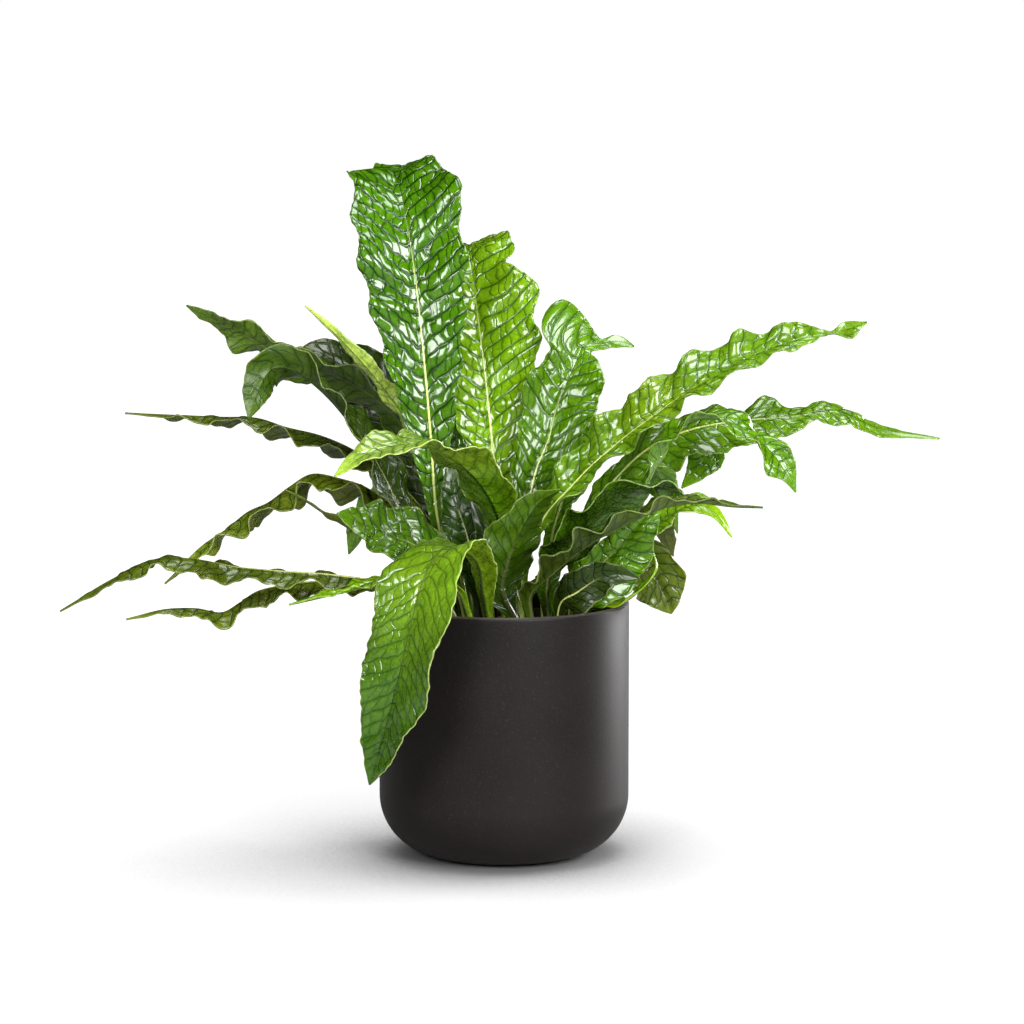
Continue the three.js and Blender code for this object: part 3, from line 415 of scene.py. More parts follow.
def catmull_rom(stops, t):
    """Points at the shares t of a centripetal Catmull-Rom curve through the rows of stops."""
    padded = np.vstack([2 * stops[0] - stops[1], stops, 2 * stops[-1] - stops[-2]])
    place = np.clip(t, 0, 1) * (len(stops) - 1)
    i = np.minimum(place.astype(int), len(stops) - 2)
    w = (place - i)[:, None]
    p0, p1, p2, p3 = (padded[i + k] for k in range(4))
    d0, d1, d2 = (
        np.sqrt(np.linalg.norm(b - a, axis=1))[:, None] for a, b in ((p0, p1), (p1, p2), (p2, p3))
    )
    t1 = ((p1 - p0) / d0 - (p2 - p0) / (d0 + d1) + (p2 - p1) / d1) * d1
    t2 = ((p2 - p1) / d1 - (p3 - p1) / (d1 + d2) + (p3 - p2) / d2) * d1
    return p1 + t1 * w + (3 * (p2 - p1) - 2 * t1 - t2) * w**2 + (2 * (p1 - p2) + t1 + t2) * w**3


def curve_by_length(stops, samples):
    """The shares of the curve's parameter that are evenly spaced along it, and its length."""
    fine = np.linspace(0, 1, 4 * samples + 1)
    steps = np.linalg.norm(np.diff(catmull_rom(stops, fine), axis=0), axis=1)
    lengths = np.concatenate([[0], np.cumsum(steps)])
    return np.interp(np.linspace(0, lengths[-1], samples + 1), lengths, fine), lengths[-1]


def midrib(frond):
    """Even samples of a frond's midrib, with its across and up directions, and its length."""
    x, y = frond["root"]
    foot = [(x, y, SOIL_TOP - STEM_BURIED), (x, y, SOIL_TOP + STEM_UPRIGHT)]
    stops = np.array(foot + [p[:3] for p in frond["path"]], float)
    rolls = np.radians([0, 0] + [p[3] if len(p) > 3 else 0 for p in frond["path"]])
    t, length = curve_by_length(stops, CURVE_SAMPLES)
    at = catmull_rom(stops, t)
    delta = 1e-4
    along = catmull_rom(stops, t + delta) - catmull_rom(stops, t - delta)
    along /= np.linalg.norm(along, axis=1)[:, None]
    facing = math.radians(frond["facing"])
    direction = np.array([-math.sin(facing), math.cos(facing), 0])
    plain = []
    for forward in along:
        direction = direction - forward * forward.dot(direction)
        direction /= np.linalg.norm(direction)
        plain.append(direction)
    plain = np.array(plain)
    place = t * (len(stops) - 1)
    stop = np.minimum(place.astype(int), len(stops) - 2)
    roll = (rolls[stop] + (rolls[stop + 1] - rolls[stop]) * smooth(place - stop))[:, None]
    up = np.cross(along, plain)
    across = plain * np.cos(roll) + up * np.sin(roll)
    return {"at": at, "across": across, "up": up * np.cos(roll) - plain * np.sin(roll), "length": length}


def along_midrib(rib, key, u):
    shares = np.linspace(0, 1, CURVE_SAMPLES + 1)
    return np.stack([np.interp(u, shares, rib[key][:, k]) for k in range(3)], axis=-1)


def lobe_at(frond, rib, u, side):
    """What the lobes and notches of the margins add to the reach, as a share of it, and to the lift."""
    growth, lift = 0.0, 0.0
    for place, lobe_side, wider, lifted in frond["lobes"]:
        strength = np.exp(-(((u - place) * rib["length"] / LOBE_SPREAD) ** 2)) * (side == lobe_side)
        growth = growth + wider * strength
        lift = lift + lifted * strength
    return growth, lift


def half_width(frond, rib, u):
    stalk, widest = frond["stalk"] / rib["length"], frond["widest"]
    s = np.clip((u - stalk) / (widest - stalk), 0, 1)
    rise = 0.5 * s + 0.5 * smooth(s)
    fall = 1 - np.clip((u - widest) / (1 - widest), 0, 1) ** frond["blunt"]
    stem = STEM_WIDTH / 2
    return (stem + (frond["width"] / 2 - stem) * rise) * fall + TIP_HALF_WIDTH * (1 - fall)


def blade(frond, rib, u, v):
    """The blade's middle surface at u along the midrib and v across it, and its reach from the rib."""
    u, v = u[:, None], v[None, :]
    side, out = np.sign(v), np.abs(v)
    width = half_width(frond, rib, u)
    waves, height, start = frond["ruffle"]
    slanted = waves * (u - RUFFLE_SLANT * out * width / rib["length"])
    main = wave(slanted + start + MARGIN_SHIFT * side)
    short = wave(SHORT_WAVES * slanted + SHORT_START * start + SHORT_SHIFT * side)
    strength = smooth(2 * width / frond["width"]) * height
    growth, lobe_lift = lobe_at(frond, rib, u, side)
    lift = (strength * (main + SHORT_HEIGHT * short) + lobe_lift) * out**RUFFLE_GROWTH
    scallop = wave(SCALLOP_WAVES * waves * u + SCALLOP_START * start + SCALLOP_SHIFT * side)
    left, right = frond["sides"]
    reach = width * out * (1 + SCALLOP_DEPTH * scallop + growth) * np.where(side < 0, right, left)
    frill = u * rib["length"] / FRILL_LENGTH + start + FRILL_SHIFT * side
    wide = smooth((width - FRILL_FROM) / NARROW)
    lift = lift + wide * FRILL_HEIGHT * out**5 * (wave(frill) + 0.6 * wave(1.62 * frill + 0.2))
    reach = reach + wide * FRILL_DEPTH * out**8 * (wave(0.83 * frill + 0.4) + 0.7 * wave(2.1 * frill))
    fold = math.radians(frond["fold"])
    across, up = (along_midrib(rib, key, u[:, 0]) for key in ("across", "up"))
    across /= np.linalg.norm(across, axis=1)[:, None]
    up /= np.linalg.norm(up, axis=1)[:, None]
    at = along_midrib(rib, "at", u[:, 0])
    sideways = (side * reach * math.cos(fold))[..., None] * across[:, None]
    upwards = (reach * math.sin(fold) + lift)[..., None] * up[:, None]
    return at[:, None] + sideways + upwards, side * reach


def wander(rng, x, y, scale, terms=6):
    """Smooth seeded noise of about unit size, as a sum of sines over x and y."""
    total = np.zeros(np.broadcast(x, y).shape)
    for _ in range(terms):
        angle, start = rng.uniform(0, 2 * np.pi, 2)
        rate = rng.uniform(0.6, 1.6) / scale
        total += np.sin(rate * (x * math.cos(angle) + y * math.sin(angle)) + start)
    return total / math.sqrt(terms / 2)


def net_phases(frond, look, rng, run, reach):
    """How many laterals a point lies along the blade, and how many cells out from the midrib."""
    spacing = VEIN_SPACING + VEIN_SPACING_BY_WIDTH * frond["width"]
    out = np.abs(reach)
    left, right = look["lean"]
    lean = np.where(reach < 0, right, left)
    drift = sum(strength * wander(rng, run, reach, scale) for strength, scale in LATERAL_WANDER)
    side = SIDE_SHIFT * np.sign(reach) * smooth(out / 0.004)
    lateral = (run - lean * out - VEIN_BEND * out**2) / spacing + side + drift
    cells = out / CELL_LENGTH
    for strength, scale in CELL_WANDER:
        cells = cells + strength * wander(rng, run, reach, scale)
    return lateral, cells, spacing


def stagger(index):
    """How far the cross veins of one band are shifted against its neighbour's."""
    return BAND_SHIFT * np.mod(index, 2) + BAND_SWAY * np.sin(BAND_SWAY_RATE * index)


def relief(rng, run, reach, half, lateral, cells, spacing):
    """How far the skin bulges between its sunk veins, as flat-topped cells, each tilted its own way."""
    band, across_band = np.floor(lateral), lateral - np.floor(lateral)
    shifted = cells + stagger(band)
    cell, across_cell = np.floor(shifted), shifted - np.floor(shifted)
    swell = smooth(np.minimum(across_band, 1 - across_band) * spacing / LATERAL_GROOVE)
    pillow = smooth(np.minimum(across_cell, 1 - across_cell) * CELL_LENGTH / CELL_GROOVE) * swell
    uneven = 0.8 + 0.35 * np.sin(3.7 * band + 5.1 * cell)
    tilt_out = (across_cell - 0.5) * np.sin(7.3 * band + 4.1 * cell)
    tilt = tilt_out + (across_band - 0.5) * np.sin(2.9 * band + 8.3 * cell)
    height = RELIEF_LATERAL * swell + (RELIEF_CELL * uneven + CELL_TILT * tilt) * pillow
    out = np.abs(reach)
    fade = smooth((half - out) / RELIEF_MARGIN) * smooth((out - 0.0008) / 0.002)
    return (height + UNDULATION * wander(rng, run, reach, UNDULATION_SCALE)) * fade


def frond_colour(colours, rng, u, run, reach):
    """The blade's slowly changing colour, as a linear colour for each point."""
    stops = linear(colours)
    shares = np.linspace(0, 1, len(stops))
    base = np.stack([np.interp(u, shares, stops[:, k]) for k in range(3)], axis=-1)
    base = np.broadcast_to(base[:, None], run.shape + (3,)).copy()
    base *= (1 + 0.10 * wander(rng, run, reach, SHADE_SIZE))[..., None]
    yellow = smooth(0.5 * wander(rng, run, reach, YELLOW_SIZE) - 0.35)[..., None]
    return base * (1 + yellow * np.array(YELLOWED))


def grid_faces(rows, columns):
    """The quads of a sheet with an upper and a lower skin, closed along its margins and its ends."""
    i, j = np.meshgrid(np.arange(rows - 1), np.arange(columns - 1), indexing="ij")
    a = (i * columns + j).ravel()
    upper = np.stack([a, a + columns, a + columns + 1, a + 1], axis=1)
    lower = upper[:, ::-1] + rows * columns
    down = rows * columns
    left = np.arange(rows - 1) * columns
    right = left + columns - 1
    start = np.arange(columns - 1)
    end = start + (rows - 1) * columns
    walls = [
        np.stack([left, left + down, left + down + columns, left + columns], axis=1),
        np.stack([right, right + columns, right + down + columns, right + down], axis=1),
        np.stack([start, start + 1, start + 1 + down, start + down], axis=1),
        np.stack([end, end + down, end + 1 + down, end + 1], axis=1),
    ]
    return np.vstack([upper, lower, *walls])


def add_piece(name, points, faces, material, node):
    """A smooth-shaded mesh that stands for a CAD node."""
    mesh = bpy.data.meshes.new(name)
    mesh.from_pydata([tuple(p) for p in points], [], [tuple(f) for f in faces])
    mesh.polygons.foreach_set("use_smooth", [True] * len(mesh.polygons))
    mesh.materials.append(material)
    piece = bpy.data.objects.new(name, mesh)
    bpy.context.scene.collection.objects.link(piece)
    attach(piece, BODY)
    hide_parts(node)
    return piece


def add_attribute(piece, name, upper, lower):
    """Values at each point of a sheet's upper and lower skin: vectors of three or colours of four."""
    kind, key = ("FLOAT_COLOR", "color") if len(upper) == 4 else ("FLOAT_VECTOR", "vector")
    values = np.stack([np.stack(skin, axis=-1) for skin in (upper, lower)])
    attribute = piece.data.attributes.new(name, kind, "POINT")
    attribute.data.foreach_set(key, np.ascontiguousarray(values, np.float32).ravel())


def build_frond(frond, index, materials):
    rib = midrib(frond)
    tone = frond["tone"]
    look = {**USUAL, "finish": tone, **TONES[tone], **frond["look"]}
    rng = np.random.default_rng(FIRST_SEED + index)
    length = rib["length"]
    rows = int(length / STEP_ALONG / look["steps"]) + 2
    columns = 2 * max(3, int(frond["width"] / 2 / STEP_ACROSS / look["steps"])) + 1
    u = np.linspace(0, 1, rows)
    t = np.linspace(-1, 1, columns)
    middle, reach = blade(frond, rib, u, np.sign(t) * np.abs(t) ** CROWD_TO_RIB)
    run = np.broadcast_to(u[:, None] * length, reach.shape)
    out = np.abs(reach)
    half = np.where(reach < 0, out[:, :1], out[:, -1:])
    normal = np.cross(np.gradient(middle, axis=0), np.gradient(middle, axis=1))
    normal /= np.maximum(np.linalg.norm(normal, axis=-1, keepdims=True), 1e-12)

    lateral, cells, spacing = net_phases(frond, look, rng, run, reach)
    wide = smooth((half - NET_FROM) / NARROW)
    bulge = relief(rng, run, reach, half, lateral, cells, spacing) * wide * look["relief"]
    bulge = bulge - 0.5 * np.mean(bulge)
    thinned = smooth((run - STEM_BURIED) / RIB_TAPER)
    rib_thickness = STEM_THICKNESS + (RIB_THICKNESS_TIP - STEM_THICKNESS) * thinned
    rib_half = RIB_HALF_WIDTH * (1.15 - 0.75 * u[:, None]) * np.minimum(1, 1.6 * (1.05 - u[:, None]))
    on_rib = np.exp(-((out / (1.25 * rib_half)) ** 2))
    edge = smooth(out / np.maximum(half, 1e-6) * 4 - 3)
    thickness = BLADE_THICKNESS + (EDGE_THICKNESS - BLADE_THICKNESS) * edge
    thickness = thickness + (rib_thickness - thickness) * on_rib
    sunk_tip = smooth((u[:, None] - 0.5) / 0.3)
    ridge = RIB_RISE * (1 - 1.6 * sunk_tip) * on_rib * smooth(half / 0.004)
    upper = middle + normal * (thickness / 2 + bulge + ridge)[..., None]
    lower = middle - normal * (thickness / 2 - bulge + 0.5 * np.abs(ridge))[..., None]

    node = "frond_" + frond["name"]
    points = np.clip(np.concatenate([upper.reshape(-1, 3), lower.reshape(-1, 3)]), *CAD_BOX)
    faces = grid_faces(rows, columns).tolist()
    finish, slot = materials[look["finish"]], "frond_" + tone
    piece = add_piece(node + "_leaf", points.tolist(), faces, finish, node)
    pale = np.broadcast_to((1 - sunk_tip) * look["rib"], run.shape)
    margin = np.broadcast_to(look["margin"], run.shape)
    leaf = [run * MM_PER_METRE, reach * MM_PER_METRE, half * MM_PER_METRE]
    add_attribute(piece, "leaf", leaf, leaf)
    add_attribute(piece, "net", [lateral, cells, pale], [lateral, cells, pale])
    ribs = [reach / np.maximum(rib_half, 1e-5), wide * look["net"], margin]
    add_attribute(piece, "ribs", ribs, ribs)
    colour = list(np.moveaxis(frond_colour(look["colours"], rng, u, run, reach), -1, 0))
    on_top = np.ones(run.shape)
    add_attribute(piece, "tint", colour + [on_top], colour + [0 * on_top])


class Graph:
    """Short calls for making the nodes of one material or world."""

    def __init__(self, owner):
        owner.use_nodes = True
        self.owner = owner
        self.nodes, self.links = owner.node_tree.nodes, owner.node_tree.links
        self.nodes.clear()

    def put(self, socket, value):
        if isinstance(value, bpy.types.NodeSocket):
            self.links.new(value, socket)
        else:
            socket.default_value = value

    def fill(self, made, first, *values):
        """Puts values into a node's sockets, one after another."""
        for socket, value in zip(list(made.inputs)[first:], values):
            self.put(socket, value)

    def node(self, kind, settings=(), **inputs):
        made = self.nodes.new("ShaderNode" + kind)
        for key, value in dict(settings).items():
            setattr(made, key, value)
        for key, value in inputs.items():
            self.put(made.inputs[key.replace("_", " ")], value)
        return made

    def math(self, operation, *values):
        made = self.node("Math", {"operation": operation})
        self.fill(made, 0, *values)
        return made.outputs[0]

    def times(self, a, b):
        return self.math("MULTIPLY", a, b)

    def step(self, value, low, high, start=0.0, end=1.0, kind="SMOOTHSTEP"):
        """A step of value from start at low to end at high."""
        made = self.node("MapRange", {"interpolation_type": kind})
        self.fill(made, 0, value, low, high, start, end)
        return made.outputs["Result"]

    def mix(self, share, a, b, blend="MIX"):
        made = self.node("Mix", {"data_type": "RGBA", "blend_type": blend})
        self.fill(made, 0, share)
        self.fill(made, 6, a, b)
        return made.outputs[2]

    def tint(self, colour, factors, share=1):
        """A colour multiplied by three factors, as far as share says."""
        return self.mix(share, colour, (*factors, 1), "MULTIPLY")

    def place(self):
        return self.node("TexCoord").outputs["Object"]

    def noise(self, vector, scale, detail=3.0, rough=0.5):
        return self.node("TexNoise", Vector=vector, Scale=scale, Detail=detail, Roughness=rough).outputs[0]

    def cells(self, vector, scale, feature="F1"):
        return self.node("TexVoronoi", {"feature": feature}, Vector=vector, Scale=scale).outputs["Distance"]

    def attribute(self, name):
        return self.node("Attribute", {"attribute_name": name})

    def split(self, vector):
        return self.node("SeparateXYZ", Vector=vector).outputs

    def bump(self, height, distance):
        return self.node("Bump", Height=height, Distance=distance, Strength=1).outputs[0]

    def skin(self, colour, rough, gloss=0.5, **more):
        """A plain shader, with its specular level as gloss."""
        made = self.node("BsdfPrincipled", Base_Color=colour, Roughness=rough, **more)
        made.inputs["Specular IOR Level"].default_value = gloss
        return made.outputs[0]

    def join(self, kind, first, second, **inputs):
        """Two shaders added, or mixed by a factor."""
        made = self.node(kind, **inputs)
        self.fill(made, len(made.inputs) - 2, first, second)
        return made.outputs[0]

    def finish(self, shader, output="OutputMaterial"):
        self.node(output, Surface=shader)
        return self.owner


def new_material(name):
    return Graph(bpy.data.materials.new(name))


def colour4(srgb):
    return (*linear(srgb), 1)


def grey4(level):
    return (level, level, level, 1)


def gap_to_line(g, phase, size):
    """How many millimetres a point is from a whole number of phase, where one is size in metres."""
    share = g.math("FRACT", phase)
    return g.times(g.math("MINIMUM", share, g.math("SUBTRACT", 1, share)), size * MM_PER_METRE)


def frond_material(tone):
    """A glossy leaf with sunk veins that are darker in their own colour and in painted shade, painted shade
    beside them, a pale midrib and margin, and a duller underside.
    """
    looks = TONES[tone]
    g = new_material("frond_" + tone)
    tint = g.attribute("tint")
    on_top = tint.outputs["Alpha"]
    leaf = g.attribute("leaf").outputs["Vector"]
    reach, half = g.split(leaf)[1:]
    lateral, cells, pale = g.split(g.attribute("net").outputs["Vector"])
    rib_place, wide, margin = g.split(g.attribute("ribs").outputs["Vector"])

    band = g.math("FLOOR", lateral)
    odd = g.times(g.math("FLOORED_MODULO", band, 2), BAND_SHIFT)
    sway = g.times(g.math("SINE", g.times(band, BAND_SWAY_RATE)), BAND_SWAY)
    shifted = g.math("ADD", cells, g.math("ADD", odd, sway))
    lateral_gap = gap_to_line(g, lateral, VEIN_SPACING_USUAL)
    cross_gap = gap_to_line(g, shifted, CELL_LENGTH)
    fine_vein = g.step(g.cells(leaf, 0.42, "DISTANCE_TO_EDGE"), 0.02, 0.1, 0.3, 0)
    lateral_vein = g.step(lateral_gap, 0.15, 0.85, 1, 0)
    cross_vein = g.step(cross_gap, 0.1, 0.65, 0.8, 0)
    veins = g.times(g.math("MAXIMUM", g.math("MAXIMUM", lateral_vein, cross_vein), fine_vein), wide)
    # Painted shade: a darker band beside the veins, partly the leaf's own darker tone there and partly the
    # shade of the pillowed cells.
    beside_vein_shade = g.math("MAXIMUM", g.step(lateral_gap, 0.4, 2.6, 0.6, 0), g.step(cross_gap, 0.3, 1.8, 0.4, 0))
    mottle = g.noise(leaf, 0.55, 4.0, 0.6)
    patches = g.noise(leaf, 0.09, 2.0, 0.5)

    plain = g.tint(tint.outputs["Color"], MOTTLE_TINT, g.step(mottle, 0.35, 0.7))
    plain = g.tint(plain, BESIDE_VEIN_TONE_AND_SHADE_TINT, g.times(beside_vein_shade, wide))
    plain = g.tint(plain, PATCH_TINT, g.step(patches, 0.4, 0.7, 0, 0.6))
    # Painted shade: the veins, and the sunk tip of the midrib, darkened beyond their own green as if shaded
    # in their grooves.
    dark = g.tint(plain, VEIN_AND_GROOVE_SHADE_TINT)
    top_colour = g.mix(g.times(veins, looks["vein"]), plain, dark)
    under = g.mix(g.times(veins, VEIN_BELOW), g.tint(plain, UNDERSIDE_TINT), dark)
    colour = g.mix(on_top, under, top_colour)

    on_rib = g.step(g.math("ABSOLUTE", rib_place), 0.55, 1.0, 1, 0)
    shown = g.times(pale, g.step(on_top, 0, 1, 0.4, 1))
    colour = g.mix(on_rib, colour, g.mix(shown, dark, colour4(RIB_COLOUR)))
    margin_gap = g.math("SUBTRACT", half, g.math("ABSOLUTE", reach))
    on_margin = g.times(g.times(g.step(margin_gap, 0.25, 0.75, 1, 0), margin), wide)
    colour = g.mix(on_margin, colour, colour4(MARGIN_COLOUR))

    rough = g.math("ADD", looks["rough"], g.step(mottle, 0.3, 0.7, 0.0, 0.05))
    rough = g.math("ADD", rough, g.times(g.math("SUBTRACT", 1, on_top), 0.12))
    groove = g.math("MAXIMUM", g.step(lateral_gap, 0, 1.0, 1, 0), g.step(cross_gap, 0, 0.8, 0.6, 0))
    grain = g.math("SUBTRACT", g.times(g.noise(leaf, 1.2, 2.0, 0.5), 0.04), g.times(groove, wide))
    normal = g.bump(grain, 0.0004)
    skin = g.skin(colour, rough, looks["gloss"], Normal=normal)
    through = g.node("BsdfTranslucent", Color=g.tint(colour, THROUGH_TINT), Normal=normal).outputs[0]
    return g.finish(g.join("MixShader", skin, through, Fac=THROUGH_SHARE))


def pot_material():
    g = new_material("charcoal_ceramic")
    place = g.place()
    cloud = g.noise(place, 9, 4.0, 0.55)
    speck = g.noise(place, 900, 2.0, 0.6)
    colour = g.mix(g.step(cloud, 0.3, 0.7), colour4((19, 17, 16)), colour4((23, 20, 19)))
    colour = g.mix(g.step(speck, 0.58, 0.72, 0, 0.5), colour, colour4((42, 38, 35)))
    colour = g.mix(g.step(g.cells(place, 420), 0.06, 0.14, 0.7, 0), colour, colour4((20, 18, 17)))
    # Painted highlight: the glaze made lighter along the top of the lip.
    lip = g.step(g.split(place)[2], *LIP_PAINTED_HIGHLIGHT, 0, 0.8)
    colour = g.mix(lip, colour, colour4((66, 61, 57)))
    normal = g.bump(g.math("ADD", speck, g.times(cloud, 2)), 0.00008)
    return g.finish(g.skin(colour, g.step(cloud, 0.3, 0.7, 0.42, 0.5), 0.12, Normal=normal))


def plastic_material():
    g = new_material("nursery_plastic")
    place = g.place()
    dust = g.noise(place, 60, 5.0, 0.6)
    colour = g.mix(g.step(dust, 0.5, 0.75, 0, 0.5), colour4((22, 22, 23)), colour4((70, 58, 46)))
    normal = g.bump(g.noise(place, 700, 2.0), 0.00008)
    return g.finish(g.skin(colour, g.step(dust, 0.3, 0.8, 0.45, 0.75), Normal=normal))


def soil_material():
    g = new_material("potting_soil")
    place = g.place()
    crumb = g.noise(place, 260, 6.0, 0.65)
    lump = g.noise(place, 55, 3.0, 0.5)
    colour = g.mix(g.step(crumb, 0.35, 0.68), colour4((30, 20, 14)), colour4((82, 58, 38)))
    colour = g.mix(g.step(lump, 0.55, 0.7, 0, 0.5), colour, colour4((104, 76, 50)))
    return g.finish(g.skin(colour, 0.92, Normal=g.bump(g.math("ADD", crumb, lump), 0.0008)))


def rhizome_material():
    g = new_material("rhizome_scales")
    place = g.place()
    scales = g.cells(place, 420)
    colour = g.mix(g.step(scales, 0.1, 0.7), colour4((120, 76, 42)), colour4((52, 30, 18)))
    green = g.step(g.noise(place, 90, 4.0, 0.6), 0.5, 0.7, 0, 0.6)
    colour = g.mix(green, colour, colour4((96, 104, 52)))
    return g.finish(g.skin(colour, 0.8, Normal=g.bump(scales, 0.0006)))


def floor_material():
    """A studio floor, white all the way out, with a soft shadow round the pot."""
    g = new_material("studio_floor")
    place = g.place()
    far = g.node("VectorMath", {"operation": "LENGTH"}, Vector=place).outputs["Value"]
    ray = g.node("LightPath").outputs
    seen, mirrored = ray["Is Camera Ray"], ray["Is Glossy Ray"]
    colour = g.mix(g.noise(place, 3, 2.0), grey4(0.8), grey4(0.84))
    colour = g.mix(mirrored, colour, grey4(FLOOR_IN_GLOSS))
    colour = g.mix(seen, colour, grey4(FLOOR_SEEN))
    shadow = g.node(
        "AmbientOcclusion", {"samples": SHADOW_SAMPLES}, Distance=SHADOW_REACH, Normal=SHADOW_LOOKS_TO
    )
    glow = g.times(g.step(far, 0.25, 1.0, 0.85, 1.1), g.step(shadow.outputs["AO"], 0.38, 0.95))
    glow = g.times(glow, g.step(seen, 0, 1, FLOOR_GLOW_UNSEEN, FLOOR_GLOW_SEEN))
    glow = g.times(glow, g.step(mirrored, 0, 1, 1.0, FLOOR_GLOW_IN_GLOSS))
    light = g.node("Emission", Color=grey4(1), Strength=glow).outputs[0]
    return g.finish(g.join("AddShader", g.skin(colour, 0.9), light))


def arc(centre_r, centre_z, radius, start, end, steps):
    """Points on a circle between two angles in degrees, as (radius, height) rows."""
    angles = np.radians(np.linspace(start, end, steps + 1))
    return [(centre_r + radius * math.cos(a), centre_z + radius * math.sin(a)) for a in angles]


def lathe(profile, segments):
    """The points and faces of a profile turned about Z, from the axis at the bottom round to the axis."""
    angles = np.linspace(0, 2 * np.pi, segments, endpoint=False)
    inner = np.array(profile[1:-1])
    x, y = inner[:, :1] * np.cos(angles), inner[:, :1] * np.sin(angles)
    rings = np.stack([x, y, np.repeat(inner[:, 1:], segments, axis=1)], axis=-1).reshape(-1, 3)
    points = np.vstack([rings, [(0, 0, profile[0][1]), (0, 0, profile[-1][1])]])
    faces = []
    for ring in range(len(inner) - 1):
        for k in range(segments):
            a, b = ring * segments + k, ring * segments + (k + 1) % segments
            faces.append((a, b, b + segments, a + segments))
    first, last = len(rings), len(rings) + 1
    top = (len(inner) - 1) * segments
    for k in range(segments):
        after = (k + 1) % segments
        faces.append((first, after, k))
        faces.append((last, top + k, top + after))
    return points, faces


def build_cover_pot(material):
    inner = POT_RADIUS - POT_WALL
    lip = POT_WALL / 2
    foot = POT_RADIUS - POT_FOOT_ROUND
    profile = [
        (0, 0),
        (foot * 0.5, 0),
        *arc(foot, POT_FOOT_ROUND, POT_FOOT_ROUND, -90, 0, 28),
        (POT_RADIUS, POT_HEIGHT * 0.5),
        *arc(POT_RADIUS - lip, POT_HEIGHT - lip, lip, 0, 180, 14),
        (inner, POT_HEIGHT * 0.5),
        *arc(foot, POT_FOOT_ROUND, inner - foot, 0, -90, 20),
        (foot * 0.5, POT_WALL),
        (0, POT_WALL),
    ]
    points, faces = lathe(profile, POT_SEGMENTS)
    add_piece("cover_pot_glazed", points, faces, material, "cover_pot")


def build_nursery_pot(material):
    rim = NURSERY_BASE_Z + NURSERY_HEIGHT
    foot = NURSERY_BASE_Z + FOOT_HEIGHT
    side = RIM_RADIUS - RIM_STEP
    profile = [
        (0, NURSERY_BASE_Z),
        (FOOT_RADIUS, NURSERY_BASE_Z),
        (FOOT_RADIUS, foot - NURSERY_WALL),
        (SHOULDER_RADIUS, foot),
        (side, rim - RIM_BAND),
        (RIM_RADIUS, rim - RIM_BAND),
        *arc(RIM_RADIUS - NURSERY_WALL / 2, rim - NURSERY_WALL / 2, NURSERY_WALL / 2, 0, 180, 6),
        (side - NURSERY_WALL, rim - RIM_BAND),
        (SHOULDER_RADIUS - NURSERY_WALL, foot + NURSERY_WALL),
        (FOOT_RADIUS - NURSERY_WALL, foot),
        (FOOT_RADIUS - NURSERY_WALL, NURSERY_BASE_Z + NURSERY_WALL),
        (0, NURSERY_BASE_Z + NURSERY_WALL),
    ]
    points, faces = lathe(profile, NURSERY_SEGMENTS)
    piece = add_piece("nursery_pot_plastic", points, faces, material, "nursery_pot")
    drill_holes(piece)


def drill_holes(piece):
    """Cuts the drain holes through the nursery pot's base."""
    drills = []
    for k in range(DRAIN_HOLES):
        angle = 2 * math.pi * k / DRAIN_HOLES
        place = (DRAIN_CIRCLE * math.cos(angle), DRAIN_CIRCLE * math.sin(angle), NURSERY_BASE_Z)
        bpy.ops.mesh.primitive_cylinder_add(
            vertices=32, radius=DRAIN_RADIUS, depth=DRILL_LENGTH, location=place
        )
        drills.append(bpy.context.object)
    for drill in drills:
        cut = piece.modifiers.new("drain", "BOOLEAN")
        cut.object = drill
        cut.operation = "DIFFERENCE"
        cut.solver = "EXACT"
    depsgraph = bpy.context.evaluated_depsgraph_get()
    mesh = bpy.data.meshes.new_from_object(piece.evaluated_get(depsgraph))
    piece.modifiers.clear()
    piece.data = mesh
    for drill in drills:
        bpy.data.objects.remove(drill)


def crumb_shapes(rng, count):
    """Small irregular lumps of soil and bark, as the points and faces of one mesh."""
    t = (1 + 5**0.5) / 2
    flat = [(-1, t, 0), (1, t, 0), (-1, -t, 0), (1, -t, 0)]
    shell = np.array([np.roll(corner, k) for k in range(3) for corner in flat]) / math.sqrt(1 + t * t)
    sides = [(0, 11, 5), (0, 5, 1), (0, 1, 7), (0, 7, 10), (0, 10, 11), (1, 5, 9), (5, 11, 4)]
    sides += [(11, 10, 2), (10, 7, 6), (7, 1, 8), (3, 9, 4), (3, 4, 2), (3, 2, 6), (3, 6, 8)]
    sides += [(3, 8, 9), (4, 9, 5), (2, 4, 11), (6, 2, 10), (8, 6, 7), (9, 8, 1)]
    points, faces = [], []
    for _ in range(count):
        radius = (RIM_RADIUS - CRUMB_MARGIN) * math.sqrt(rng.uniform(0, 1))
        angle = rng.uniform(0, 2 * math.pi)
        x, y = radius * math.cos(angle), radius * math.sin(angle)
        size = rng.uniform(*CRUMB_SIZES) * rng.uniform(0.6, 1.3, 3) * (1, 1, 0.7)
        turn = rng.normal(size=(3, 3))
        turn = np.linalg.qr(turn)[0]
        turn *= np.sign(np.linalg.det(turn))
        lump = shell * rng.uniform(0.75, 1.15, (12, 1)) * size
        faces += [tuple(len(shell) * len(points) + k for k in s) for s in sides]
        points.append(lump @ turn.T + (x, y, soil_height(radius)))
    return np.concatenate(points), faces


def soil_height(radius):
    return SOIL_TOP + SOIL_CROWN * (1 - radius / RIM_RADIUS) - SOIL_SETTLED


